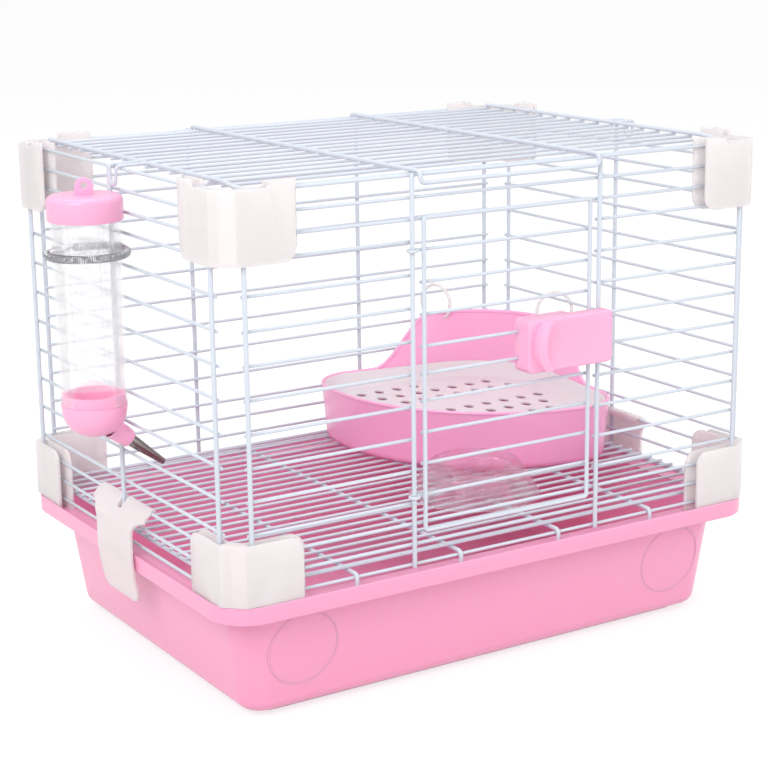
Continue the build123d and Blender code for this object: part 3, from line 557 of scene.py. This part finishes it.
# %% [markdown]
# Some moulded pieces have plan shapes with cuts and slots that the solid already holds exactly.
# A copy of the solid is merged and cleaned of its triangles, and its crisp edges get the small
# rounding that every moulded edge has, so that they catch the light.


# %% A moulded piece from its solid
def moulded(node, material, body, edge, crisp=30):
    """A copy of a solid, with its edges rounded."""
    bm = bmesh.new()
    bm.from_mesh(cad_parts[node].data)
    bmesh.ops.scale(bm, vec=(1000,) * 3, verts=bm.verts)
    bmesh.ops.remove_doubles(bm, verts=bm.verts, dist=0.01)
    bmesh.ops.dissolve_limit(bm, angle_limit=math.radians(2), verts=bm.verts, edges=bm.edges)
    sharp = [e for e in bm.edges if e.is_manifold and e.calc_face_angle(0) > math.radians(crisp)]
    bmesh.ops.bevel(
        bm, geom=sharp, offset=edge, segments=2, profile=0.5, affect="EDGES", material=-1, clamp_overlap=True
    )
    piece(bm, node, material, body, node, crisp=40)


for level in ("lower", "upper"):
    for depth in ("front", "back"):
        for side in ("left", "right"):
            moulded(f"{level}_corner_{depth}_{side}", milky_pp, "cage", 0.35)
moulded("latch_slider", pale_pp, "latch", 0.4)
moulded("latch_back", pale_pp, "latch", 0.4)

# %% [markdown]
# Each tray clip is one soft plate that snaps over a wire, runs out past the rim and holds it down.
# Seen from the side it is a line, so a flat grid is bent along that line and cut to its outline:
# wide arms at the wire, a slot for the upright, a hollow curve to the tongue and a rounded end.

# %% The clip's side line and outline
CLIP_X = SIDE + CROSS_STEP
CLIP_Z = LEVELS[2]
CLIP_BORE = 1.27
CLIP_SKIN = 2.2
ARM_HALF = 40.0
TONGUE_HALF = 27.0
ARM_ROUND = 6.0
ARM_DROP = 8.0
HOLLOW_RUN = 14.0
HOLLOW_DEPTH = 16.0
END_ROUND = 8.0
SLOT_HALF = 3.2
SLOT_DROP = 6.0
FIRST_BARREL = -50
LAST_BARREL = 180

barrel = arc((CLIP_X, CLIP_Z), CLIP_BORE, FIRST_BARREL, LAST_BARREL - 5, 15)
barrel = [Vector((x, 0, z)) for x, z in barrel]
run_down = [
    (CLIP_X - CLIP_BORE, 0, CLIP_Z), (CLIP_X - 4.0, 0, CLIP_Z - 2.4), (CLIP_X - 10.0, 0, CLIP_Z - 11.0),
    (CLIP_X - 10.2, 0, 88.0), (CLIP_X - 9.0, 0, 75.0), (CLIP_X - 5.2, 0, 55.0),
]
side_line = barrel + rounded_path(run_down, 7.0, 5)[1:]
fine_line = [side_line[0]]
for before, after in zip(side_line, side_line[1:]):
    count = max(1, round((after - before).length / 2.0))
    fine_line += [before.lerp(after, step / count) for step in range(1, count + 1)]
gone = [0.0]
for before, after in zip(fine_line, fine_line[1:]):
    gone.append(gone[-1] + (after - before).length)
arm_start = CLIP_BORE * math.radians(LAST_BARREL - FIRST_BARREL)
print("the clip's side line is", round(gone[-1], 1), "mm long")


def quarter_round(radius, left):
    """How far a rounded end has come in, when so much is left before it."""
    return radius - math.sqrt(radius**2 - (radius - left) ** 2)


def clip_half_width(run):
    """Half the clip's width after a run along its side line."""
    if run < ARM_ROUND:
        return ARM_HALF - quarter_round(ARM_ROUND, run)
    past_arm = run - arm_start - ARM_DROP
    if past_arm < 0:
        return ARM_HALF
    if past_arm < HOLLOW_RUN:
        return TONGUE_HALF + HOLLOW_DEPTH * (1 - math.sqrt(1 - (1 - past_arm / HOLLOW_RUN) ** 2))
    left = gone[-1] - run
    if left < END_ROUND:
        return TONGUE_HALF - quarter_round(END_ROUND, left)
    return TONGUE_HALF


# %% [markdown]
# The bent grid is thickened outwards and its rim rounded. The right clip is the left one mirrored.

# %% The tray clips
HALF_COLUMNS = 11
ROWS = len(fine_line) - 1

for name, body, way in (("left_tray_clip", "left_clip", 1), ("right_tray_clip", "right_clip", -1)):
    bm = bmesh.new()
    bmesh.ops.create_grid(bm, x_segments=2 * HALF_COLUMNS, y_segments=ROWS, size=1.0)
    in_slot = []
    for vert in bm.verts:
        column = round(vert.co.x * HALF_COLUMNS)
        row = round((vert.co.y + 1) / 2 * ROWS)
        half = clip_half_width(gone[row])
        y = 0.0
        if column:
            past_slot = (abs(column) - 1) / (HALF_COLUMNS - 1)
            y = math.copysign(SLOT_HALF + (half - SLOT_HALF) * past_slot, column)
        elif gone[row] < arm_start + SLOT_DROP:
            in_slot.append(vert)
        vert.co = fine_line[row] + Vector((0, y, 0))
    bmesh.ops.delete(bm, geom=in_slot, context="VERTS")
    bmesh.ops.recalc_face_normals(bm, faces=bm.faces)
    if sum(face.normal.x for face in bm.faces) > 0:
        bmesh.ops.reverse_faces(bm, faces=bm.faces)
    bmesh.ops.solidify(bm, geom=bm.faces, thickness=-CLIP_SKIN)
    bmesh.ops.recalc_face_normals(bm, faces=bm.faces)
    rims = [edge for edge in bm.edges if edge.is_manifold and edge.calc_face_angle(0) > 1.1]
    bmesh.ops.bevel(
        bm, geom=rims, offset=0.5, segments=2, profile=0.5, affect="EDGES", material=-1, clamp_overlap=True
    )
    bmesh.ops.scale(bm, vec=(way, 1, 1), verts=bm.verts)
    bmesh.ops.recalc_face_normals(bm, faces=bm.faces)
    reach = [way * vert.co.x for vert in bm.verts]
    print("clip reaches from x", round(min(reach), 2), "to", round(max(reach), 2))
    piece(bm, name, milky_pp, body, name)

# %% [markdown]
# Round pieces are turned: half of the section is drawn as a line from the axis outwards, and a
# full spin makes the body. The bottle, its cap and its base, the tube and the bowl are all such.


# %% Turn a section about an axis
def turned(bm, section, place, steps=64):
    """Spins a section of (radius, height) about an upright axis and puts it in place."""
    verts = [bm.verts.new((radius, 0, z)) for radius, z in section]
    edges = [bm.edges.new(pair) for pair in zip(verts, verts[1:] + verts[:1])]
    bmesh.ops.spin(
        bm, geom=verts + edges, cent=(0, 0, 0), axis=(0, 0, 1), angle=math.tau, steps=steps, use_merge=True
    )
    outward(bm)
    bmesh.ops.delete(bm, geom=[edge for edge in bm.edges if edge.is_wire], context="EDGES")
    bmesh.ops.transform(bm, matrix=place, verts=bm.verts)


def softened(points, radius, steps=4):
    """A closed section with every corner off the axis rounded."""
    path = []
    count = len(points)
    for number, corner in enumerate(points):
        corner = Vector(corner).to_3d()
        before = Vector(points[number - 1]).to_3d()
        after = Vector(points[(number + 1) % count]).to_3d()
        back, ahead = before - corner, after - corner
        room = min(back.length, ahead.length) * 0.45
        if corner.x < 0.01 or back.angle(ahead) > math.radians(172):
            path.append((corner.x, corner.y))
            continue
        half = back.angle(ahead) / 2
        bend = min(radius, room * math.tan(half))
        rounded = rounded_path([before, corner, after], bend, steps)[1:-1]
        path += [(spot.x, spot.y) for spot in rounded]
    return path


# %% [markdown]
# The bottle is a clear tube. Its section has an inside and an outside, so it has a real wall.

# %% The bottle's body
BOTTLE = Vector((-238.9, -12.5, 0))
BOTTLE_LOW = 197.6
BOTTLE_TOP = 335.3
NECK_Z = 319.6
BODY_LOW_RADIUS = 22.2
BODY_RADIUS = 23.2
at_bottle = Matrix.Translation(BOTTLE)

bm = bmesh.new()
body_section = [
    (BODY_LOW_RADIUS, BOTTLE_LOW), (BODY_RADIUS, NECK_Z), (BODY_RADIUS, BOTTLE_TOP),
    (BODY_RADIUS - 1.2, BOTTLE_TOP), (BODY_RADIUS - 1.2, NECK_Z), (BODY_LOW_RADIUS - 1.2, BOTTLE_LOW),
]
turned(bm, softened(body_section, 0.4), at_bottle, steps=80)
piece(bm, "bottle_body", clear_ps, "cage", "bottle_body")

# %% [markdown]
# The cap is turned. Its hanging tab is a flat plate with a hole, filled between two outlines,
# thickened and rounded, and turned to face the front left.


# %% The bottle's cap
def add_shape(bm, other):
    """Puts a second shape into the first one's mesh."""
    carrier = bpy.data.meshes.new("carrier")
    other.to_mesh(carrier)
    other.free()
    bm.from_mesh(carrier)
    bpy.data.meshes.remove(carrier)


TAB_HALF = 6.0
TAB_THICK = 2.8
TAB_FOOT_Z = 336.5
TAB_HOLE = 2.2
TAB_TURN = math.radians(-32)

bm = bmesh.new()
cap_section = [(0, 338.0)] + arc((21.2, 334.0), 4.0, 90, 0, 8)
cap_section += [(25.2, 322.2), (24.8, 321.6), (23.6, 321.6), (23.25, 322.0), (23.25, 335.35), (0, 335.35)]
turned(bm, cap_section, at_bottle, steps=80)

tab = bmesh.new()
outline = [(-TAB_HALF, TAB_FOOT_Z)] + arc((0.0, 343.5), TAB_HALF, 180, 0, 16) + [(TAB_HALF, TAB_FOOT_Z)]
verts = [tab.verts.new((x, -TAB_THICK / 2, z)) for x, z in outline]
edges = [tab.edges.new(pair) for pair in zip(verts, verts[1:] + verts[:1])]
hole_place = Matrix.Translation((0, -TAB_THICK / 2, 344.2)) @ Matrix.Rotation(math.pi / 2, 4, "X")
hole = bmesh.ops.create_circle(tab, cap_ends=False, segments=20, radius=TAB_HOLE, matrix=hole_place)
edges += list({edge for vert in hole["verts"] for edge in vert.link_edges})
filled = bmesh.ops.triangle_fill(tab, edges=edges, use_dissolve=True)["geom"]
flat = [part for part in filled if isinstance(part, bmesh.types.BMFace)]
thick = bmesh.ops.extrude_face_region(tab, geom=flat)["geom"]
moved = [part for part in thick if isinstance(part, bmesh.types.BMVert)]
bmesh.ops.translate(tab, vec=(0, TAB_THICK, 0), verts=moved)
bmesh.ops.recalc_face_normals(tab, faces=tab.faces)
rims = [edge for edge in tab.edges if edge.is_manifold and edge.calc_face_angle(0) > 1.2]
bmesh.ops.bevel(
    tab, geom=rims, offset=0.6, segments=2, profile=0.5, affect="EDGES", material=-1, clamp_overlap=True
)
bmesh.ops.transform(tab, matrix=at_bottle @ Matrix.Rotation(TAB_TURN, 4, "Z"), verts=tab.verts)
add_shape(bm, tab)
piece(bm, "bottle_cap", pale_pp, "cap", "bottle_cap")

# %% [markdown]
# The base cup is opaque and pink. Its neck leaves at a slant and holds the steel tube, whose tip
# holds a small ball.

# %% The base cup, the tube and its ball
TUBE_ANGLE = math.radians(39.0)
tube_dir = Vector((math.cos(TUBE_ANGLE), 0, -math.sin(TUBE_ANGLE)))
tube_gate = Vector((SIDE + CROSS_STEP, BOTTLE.y, (LEVELS[4] + LEVELS[5]) / 2 - 1.5))
tube_start = tube_gate - tube_dir * 17
along_tube = Matrix.Translation(tube_start) @ tube_dir.to_track_quat("Z", "Y").to_matrix().to_4x4()

bm = bmesh.new()
cup_section = [
    (22.2, BOTTLE_LOW - 0.05), (21.9, 193.0), (20.6, 187.0), (18.0, 182.3), (13.5, 178.4), (7.5, 176.0),
    (0, 175.2), (0, 178.6), (7.0, 179.2), (12.0, 181.6), (16.0, 185.0), (18.9, 190.5), (18.95, 204.6),
    (20.95, 204.6), (20.95, BOTTLE_LOW - 0.05),
]
turned(bm, cup_section, at_bottle, steps=64)
neck_shape = bmesh.new()
neck_section = [(4.3, 3.0), (7.4, -2.0), (6.9, 7.5), (6.3, 13.4), (5.9, 13.9), (4.3, 13.9)]
turned(neck_shape, neck_section, along_tube, steps=32)
add_shape(bm, neck_shape)
piece(bm, "bottle_base_cup", pale_pp, "cage", "bottle_base_cup")

bm = bmesh.new()
tube_section = [(1.25, 0), (4.2, 0), (4.2, 18), (2.1, 46), (0.95, 46), (1.25, 45.1)]
turned(bm, softened(tube_section, 0.3, 2), along_tube, steps=32)
piece(bm, "drinking_tube", stainless, "cage", "drinking_tube")

bm = bmesh.new()
ball_place = Matrix.Translation(tube_start + tube_dir * 44.1)
bmesh.ops.create_uvsphere(bm, u_segments=20, v_segments=12, radius=1.1, matrix=ball_place)
piece(bm, "tube_ball", stainless, "ball", "tube_ball")

# %% [markdown]
# A close-wound spring straps the bottle to the cage. Its coil follows a guide line round the
# bottle and the middle upright, and two plain tails lie against the bottle where the coil ends.

# %% The strap spring
SPRING_Z = (LEVELS[10] + LEVELS[11]) / 2
COIL_RADIUS = 2.5
COIL_WIRE = 0.8
CURLS = 96
TAIL_LIFT = 1.4
coil_out = COIL_RADIUS + 0.6
up_the_body = (SPRING_Z - BOTTLE_LOW) / (NECK_Z - BOTTLE_LOW)
big = BODY_LOW_RADIUS + (BODY_RADIUS - BODY_LOW_RADIUS) * up_the_body + coil_out
small = THICK_WIRE / 2 + coil_out
post = Vector((SIDE, 0, 0))
span = post - BOTTLE
lean = math.atan2(span.y, span.x)
spread = math.acos((big - small) / span.length)
straight = math.sqrt(span.length**2 - (big - small) ** 2)


def polar(angle):
    """The outward direction at one angle."""
    return Vector((math.cos(angle), math.sin(angle), 0))


def guide_line(step_mm=0.15):
    """Points and outward directions along the coil's middle line."""
    line = []
    first, last = lean - spread, lean + spread
    for centre, radius, start, end in (
        (BOTTLE, big, math.radians(-210), first),
        (post, small, first, last),
        (BOTTLE, big, last, math.radians(88)),
    ):
        count = max(2, int(abs(end - start) * radius / step_mm))
        if line:
            before = line[-1][0]
            after = centre + polar(start) * radius
            count_line = max(2, int((after - before).length / step_mm))
            line += [(before.lerp(after, k / count_line), polar(start)) for k in range(1, count_line)]
        angles = [start + (end - start) * step / count for step in range(count + 1)]
        line += [(centre + polar(angle) * radius, polar(angle)) for angle in angles]
    return line


line = guide_line()
coil = []
points_per_curl = 10
total = CURLS * points_per_curl
for step in range(total + 1):
    spot, out = line[round((len(line) - 1) * step / total)]
    turns = step / points_per_curl
    size = COIL_RADIUS * min(1.0, 0.25 + turns, 0.25 + CURLS - turns)
    swing = math.tau * turns
    coil.append(spot + out * (size * math.cos(swing)) + Vector((0, 0, SPRING_Z + size * math.sin(swing))))


def tail_of_spring(lift, angles):
    """Points of a plain tail against the bottle."""
    rise = Vector((0, 0, SPRING_Z + lift))
    return [BOTTLE + polar(math.radians(angle)) * big + rise for angle in angles]


head = tail_of_spring(TAIL_LIFT, (112, 120, 128, 136))
tail = tail_of_spring(-TAIL_LIFT, (98, 106, 114, 122, 128))
bm = bmesh.new()
swept_wire(bm, head + coil + tail, COIL_WIRE, sides=6)
outward(bm)
piece(bm, "bottle_spring", spring_steel, "cage", "bottle_spring")

# %% [markdown]
# The litter pan fits a corner: two straight backs meet in a wide round corner, and the front
# bulges out. Its outline is a chain of arcs. The outline's edges are extruded up the wall, over
# the lip and down inside, and each new ring is moved out or in along the outline's own normals.

# %% The litter pan's outline
PAN_LEG = 182.0
PAN_BULGE = 78.0
PAN_RIM = 47.0
PAN_WALL = 89.0
PAN_LEAN = math.tan(math.radians(5.0))
PAN_ROUND = 36.0
PAN_CORNER = 75.0
PAN_TURN = math.radians(-8.0)
pan_place = Matrix.Translation((208.0, 127.5, GRILLE_TOP + 0.05)) @ Matrix.Rotation(PAN_TURN, 4, "Z")

chord = PAN_LEG * math.sqrt(2)
bulge_radius = (chord**2 / 4 + PAN_BULGE**2) / (2 * PAN_BULGE)
bulge_at = -(chord / 2 + PAN_BULGE - bulge_radius) / math.sqrt(2)
end_at = bulge_at - math.sqrt((bulge_radius - PAN_ROUND) ** 2 - (PAN_ROUND + bulge_at) ** 2)
meet = math.degrees(math.atan2(-bulge_at - PAN_ROUND, bulge_at - end_at))
arcs = [
    ((-PAN_CORNER, -PAN_CORNER), PAN_CORNER, 90.0, 0.0, 16),
    ((-PAN_ROUND, end_at), PAN_ROUND, 0.0, -90.0 + meet, 12),
    ((bulge_at, bulge_at), bulge_radius, -90.0 + meet, -180.0 - meet, 40),
    ((end_at, -PAN_ROUND), PAN_ROUND, -180.0 - meet, -270.0, 12),
]


def pan_outline():
    """Points and outward directions round the pan's rim."""
    ring = []
    for centre, radius, start, end, steps in arcs:
        begin = Vector((*centre, 0)) + polar(math.radians(start)) * radius
        if ring and (begin - ring[-1][0]).length > 5:
            before, out = ring[-1]
            ring += [(before.lerp(begin, step / 12), out) for step in range(1, 12)]
        for step in range(steps + 1):
            out = polar(math.radians(start + (end - start) * step / steps))
            spot = Vector((*centre, 0)) + out * radius
            if not ring or (spot - ring[-1][0]).length > 0.5:
                ring.append((spot, out))
    before, first = ring[-1][0], ring[0][0]
    ring += [(before.lerp(first, step / 12), ring[-1][1]) for step in range(1, 12)]
    return ring


def pan_top(spot):
    """The height of the wall's top edge over the pan's underside."""
    away = -(spot.x + spot.y) / math.sqrt(2)
    share = min(1.0, max(0.0, (91.9 - away) / 38.2))
    return PAN_RIM + (PAN_WALL - PAN_RIM) * share * share * (3 - 2 * share)


ring = pan_outline()
print("pan outline:", len(ring), "points")

# %% [markdown]
# The pan is one list of rings from its underside over the lip to its inner floor. Each ring is an
# offset outwards from the rim's outline and a height, which may depend on the wall's top there.


# %% The litter pan
def grown_shape(rings):
    """A closed shape: the outline, extruded from ring to ring and filled at both ends."""
    bm = bmesh.new()
    verts = [bm.verts.new(spot) for spot, out in ring]
    edges = [bm.edges.new(pair) for pair in zip(verts, verts[1:] + verts[:1])]
    for number, (offset, height) in enumerate(rings):
        if number:
            grown = bmesh.ops.extrude_edge_only(bm, edges=edges)["geom"]
            new = {part for part in grown if isinstance(part, bmesh.types.BMVert)}
            verts = [next(e.other_vert(v) for e in v.link_edges if e.other_vert(v) in new) for v in verts]
            edges = [part for part in grown if isinstance(part, bmesh.types.BMEdge)]
        for vert, (spot, out) in zip(verts, ring):
            z = height(pan_top(spot))
            vert.co = spot + out * (offset + (z - PAN_RIM) * PAN_LEAN) + Vector((0, 0, z))
        if not number:
            bmesh.ops.edgeloop_fill(bm, edges=edges)
    bmesh.ops.edgeloop_fill(bm, edges=edges)
    outward(bm)
    bmesh.ops.transform(bm, matrix=pan_place, verts=bm.verts)
    return bm


PAN_SKIN = 2.2
pan_rings = [(-6.0, lambda top: 0.0)]
for angle in (15, 30, 45, 60, 75, 90):
    a = math.radians(angle)
    pan_rings.append((-6 + 6 * math.sin(a), lambda top, a=a: 6 - 6 * math.cos(a)))
pan_rings += [(0.0, lambda top, s=share: 6 + (top - 8) * s) for share in (0.25, 0.5, 0.75, 1.0)]
for angle in (-60, -30, 0, 30, 60, 90, 120, 150, 180, 220, 250):
    a = math.radians(angle)
    pan_rings.append((-1.1 + 1.5 * math.cos(a), lambda top, a=a: top - 1.5 + 1.5 * math.sin(a)))
pan_rings += [(-PAN_SKIN, lambda top, s=share: 6.2 + (top - 9) * s) for share in (0.95, 0.6, 0.3, 0.0)]
for angle in (30, 60, 90):
    a = math.radians(angle)
    inner_height = PAN_SKIN + 4 - 4 * math.sin(a)
    pan_rings.append((-PAN_SKIN - 4 + 4 * math.cos(a), lambda top, z=inner_height: z))
piece(grown_shape(pan_rings), "litter_pan", pan_abs, "cage", "litter_pan")

# %% [markdown]
# The grate sits inside the pan: a raised border slopes down to a flat floor full of oval holes.
# The holes would be slow to draw into the mesh, so rounded pegs are cut out of it by a Boolean.


# %% Cut one shape out of another
def cut_away(bm, pegs):
    """The first shape less the second, by a Boolean modifier."""
    made = []
    for shape in (bm, pegs):
        mesh = bpy.data.meshes.new("carrier")
        shape.to_mesh(mesh)
        shape.free()
        made.append(bpy.data.objects.new("carrier", mesh))
        bpy.context.scene.collection.objects.link(made[-1])
    cut = made[0].modifiers.new("cut", "BOOLEAN")
    cut.object = made[1]
    cut.solver = "EXACT"
    ready = made[0].evaluated_get(bpy.context.evaluated_depsgraph_get())
    result = bmesh.new()
    result.from_mesh(ready.to_mesh())
    for carrier in made:
        mesh = carrier.data
        bpy.data.objects.remove(carrier)
        bpy.data.meshes.remove(mesh)
    return result


# %% [markdown]
# The holes stand in staggered rows, with none along the middle. Those that would cut the border
# or come near the back corner are left out.

# %% The litter grate
GRATE_LOW = PAN_RIM - 14.0 + 0.05
GRATE_FIT = PAN_SKIN + 0.3
MIDDLE_ROW_Y = 56.2
ROW_PITCH = 19.7
FIRST_HOLE_X = 175.5
HOLE_PITCH = 17.0
STAGGER = 7.5
HOLE_RADIUS = 4.0
BORDER = 26.0
BACK_CLEAR = 268.0

sections = [(0.6, 0.0), (0.0, 0.6), (0.0, 12.3), (0.3, 12.8), (0.9, 13.0), (1.5, 12.7)]
sections += [(2.4, 11.4), (5.0, 6.6), (7.4, 2.9), (8.6, 1.7), (10.0, 1.3)]
grate_rings = [(-GRATE_FIT - inset, lambda top, z=GRATE_LOW + rise: z) for inset, rise in sections]
plate = grown_shape(grate_rings)
pegs = bmesh.new()
peg_z = GRILLE_TOP + 0.05 + GRATE_LOW + 2
bulge_middle = Vector((bulge_at, bulge_at, 0))
holes = 0
for row in (3, 2, 1, -1, -2, -3):
    for column in range(9):
        x = FIRST_HOLE_X - column * HOLE_PITCH - (STAGGER if row % 2 else 0.0)
        y = MIDDLE_ROW_Y + row * ROW_PITCH
        spot = pan_place.inverted() @ Vector((x, y, 0))
        past_front = (bulge_middle - Vector((spot.x, spot.y, 0))).length > bulge_radius - BORDER
        past_back = max(spot.x, spot.y) > -BORDER or x + y > BACK_CLEAR
        if past_front or past_back:
            continue
        holes += 1
        place = Matrix.Translation((x, y, peg_z)) @ Matrix.Diagonal((0.95, 1.32, 1.0, 1.0))
        bmesh.ops.create_cone(
            pegs, cap_ends=True, segments=16, radius1=HOLE_RADIUS, radius2=HOLE_RADIUS, depth=8.0,
            matrix=place,
        )
print("holes in the grate:", holes)
piece(cut_away(plate, pegs), "litter_grate", white_pp, "grate", "litter_grate")

# %% [markdown]
# Two milky rings hang the pan on the wires of the back and the right panel.

# %% The pan's rings
for name, body, centre, axis in (
    ("back_pan_ring", "back_ring", (142.173, 145.639, 194.15), (-0.951057, -0.309017, 0)),
    ("right_pan_ring", "right_ring", (203.139, 61.673, 194.15), (0.309017, 0.951057, 0)),
):
    bm = bmesh.new()
    ring_wire(bm, centre, axis, 15.0, 2.9, steps=56)
    outward(bm)
    piece(bm, name, milky_pp, body, name)

# %% [markdown]
# The food bowl is a dish hung in a flared skirt, all in one clear moulding.

# %% The food bowl
bm = bmesh.new()
bowl_section = [
    (0, 4.0), (24.0, 4.0), (27.5, 6.0), (30.7, 24.0), (31.7, 25.0), (33.1, 24.2),
    (49.0, 0.0), (46.8, 0.0), (32.9, 20.0), (29.2, 5.0), (25.0, 2.2), (0, 2.2),
]
turned(bm, softened(bowl_section, 1.6), Matrix.Translation((36.0, -63.0, GRILLE_TOP + 0.05)), steps=72)
piece(bm, "food_bowl", clear_ps, "bowl", "food_bowl")

# %% [markdown]
# The stage: a pale floor, a white room and soft lamps. The floor looks white to the camera and
# in reflections, and still takes the cage's shadow.

# %% The floor and the world
bm = bmesh.new()
bmesh.ops.create_grid(bm, x_segments=1, y_segments=1, size=30.0)
floor_mesh = bpy.data.meshes.new("floor")
bm.to_mesh(floor_mesh)
bm.free()
floor = bpy.data.objects.new("floor", floor_mesh)
bpy.context.scene.collection.objects.link(floor)
paint = bpy.data.materials.new("white_floor")
paint.use_nodes = True
tree = paint.node_tree
tree.nodes.clear()
rays = add_node(tree, "ShaderNodeLightPath")
seen = add_node(tree, "ShaderNodeMath", {"operation": "MAXIMUM"})
tree.links.new(rays.outputs["Is Camera Ray"], seen.inputs[0])
tree.links.new(rays.outputs["Is Glossy Ray"], seen.inputs[1])
seen_or_through = add_node(tree, "ShaderNodeMath", {"operation": "MAXIMUM"})
tree.links.new(seen.outputs[0], seen_or_through.inputs[0])
tree.links.new(rays.outputs["Is Transmission Ray"], seen_or_through.inputs[1])
dull = add_node(tree, "ShaderNodeBsdfDiffuse", {"Color": (0.7, 0.7, 0.7, 1)})
catcher = add_node(tree, "ShaderNodeBsdfDiffuse", {"Color": (0.35, 0.35, 0.35, 1)})
glow = add_node(tree, "ShaderNodeEmission", {"Strength": 0.72})
both = add_node(tree, "ShaderNodeAddShader")
tree.links.new(catcher.outputs[0], both.inputs[0])
tree.links.new(glow.outputs[0], both.inputs[1])
mix = add_node(tree, "ShaderNodeMixShader", {}, {"Fac": seen_or_through.outputs[0]})
tree.links.new(dull.outputs[0], mix.inputs[1])
tree.links.new(both.outputs[0], mix.inputs[2])
add_node(tree, "ShaderNodeOutputMaterial", {}, {"Surface": mix.outputs[0]})
floor_mesh.materials.append(paint)

world = bpy.data.worlds.new("white_room")
world.use_nodes = True
bpy.context.scene.world = world
tree = world.node_tree
tree.nodes.clear()
rays = add_node(tree, "ShaderNodeLightPath")
soft = add_node(tree, "ShaderNodeBackground", {"Color": (1, 1, 1, 1), "Strength": 0.72})
white = add_node(tree, "ShaderNodeBackground", {"Color": (1, 1, 1, 1), "Strength": 1.0})
seen = add_node(tree, "ShaderNodeMath", {"operation": "MAXIMUM"})
tree.links.new(rays.outputs["Is Camera Ray"], seen.inputs[0])
tree.links.new(rays.outputs["Is Transmission Ray"], seen.inputs[1])
mix = add_node(tree, "ShaderNodeMixShader", {}, {"Fac": seen.outputs[0]})
tree.links.new(soft.outputs[0], mix.inputs[1])
tree.links.new(white.outputs[0], mix.inputs[2])
add_node(tree, "ShaderNodeOutputWorld", {}, {"Surface": mix.outputs[0]})

# %% [markdown]
# Three large soft lamps: the key from the left, a weaker fill from the front and one from above.


# %% The lamps
def lamp(name, place, size, power):
    """A square soft lamp that looks at the middle of the cage."""
    light = bpy.data.lights.new(name, "AREA")
    light.size = size
    light.energy = power
    made = bpy.data.objects.new(name, light)
    made.location = place
    aim = Vector((0, 0, 0.18)) - Vector(place)
    made.rotation_euler = aim.to_track_quat("-Z", "Y").to_euler()
    bpy.context.scene.collection.objects.link(made)


lamp("key", (-1.9, -1.2, 1.7), 1.4, 35.0)
lamp("fill", (1.2, -1.8, 0.9), 1.6, 13.0)
lamp("top", (0.2, 0.6, 2.2), 1.8, 16.0)

# %% [markdown]
# The camera stands where the photograph was taken from: left of the front, a little above.

# %% The camera
AZIMUTH = math.radians(32.19)
DOWN = math.radians(14.05)
ROLL = math.radians(-0.69)
camera_data = bpy.data.cameras.new("camera")
camera = bpy.data.objects.new("camera", camera_data)
bpy.context.scene.collection.objects.link(camera)
ahead = Vector((math.sin(AZIMUTH) * math.cos(DOWN), math.cos(AZIMUTH) * math.cos(DOWN), -math.sin(DOWN)))
right = Vector((math.cos(AZIMUTH), -math.sin(AZIMUTH), 0))
up = right.cross(ahead)
level_right = right * math.cos(ROLL) + up * math.sin(ROLL)
level_up = up * math.cos(ROLL) - right * math.sin(ROLL)
turn = Matrix((level_right, level_up, -ahead)).transposed().to_4x4()
camera.matrix_world = Matrix.Translation((-0.7368, -1.17, 0.5204)) @ turn
camera_data.sensor_width = 36.0
camera_data.lens = 89.96
camera_data.shift_x = -0.0022
camera_data.shift_y = -0.0012
camera_data.clip_end = 60.0
bpy.context.scene.camera = camera
bpy.context.scene.view_settings.view_transform = "Standard"
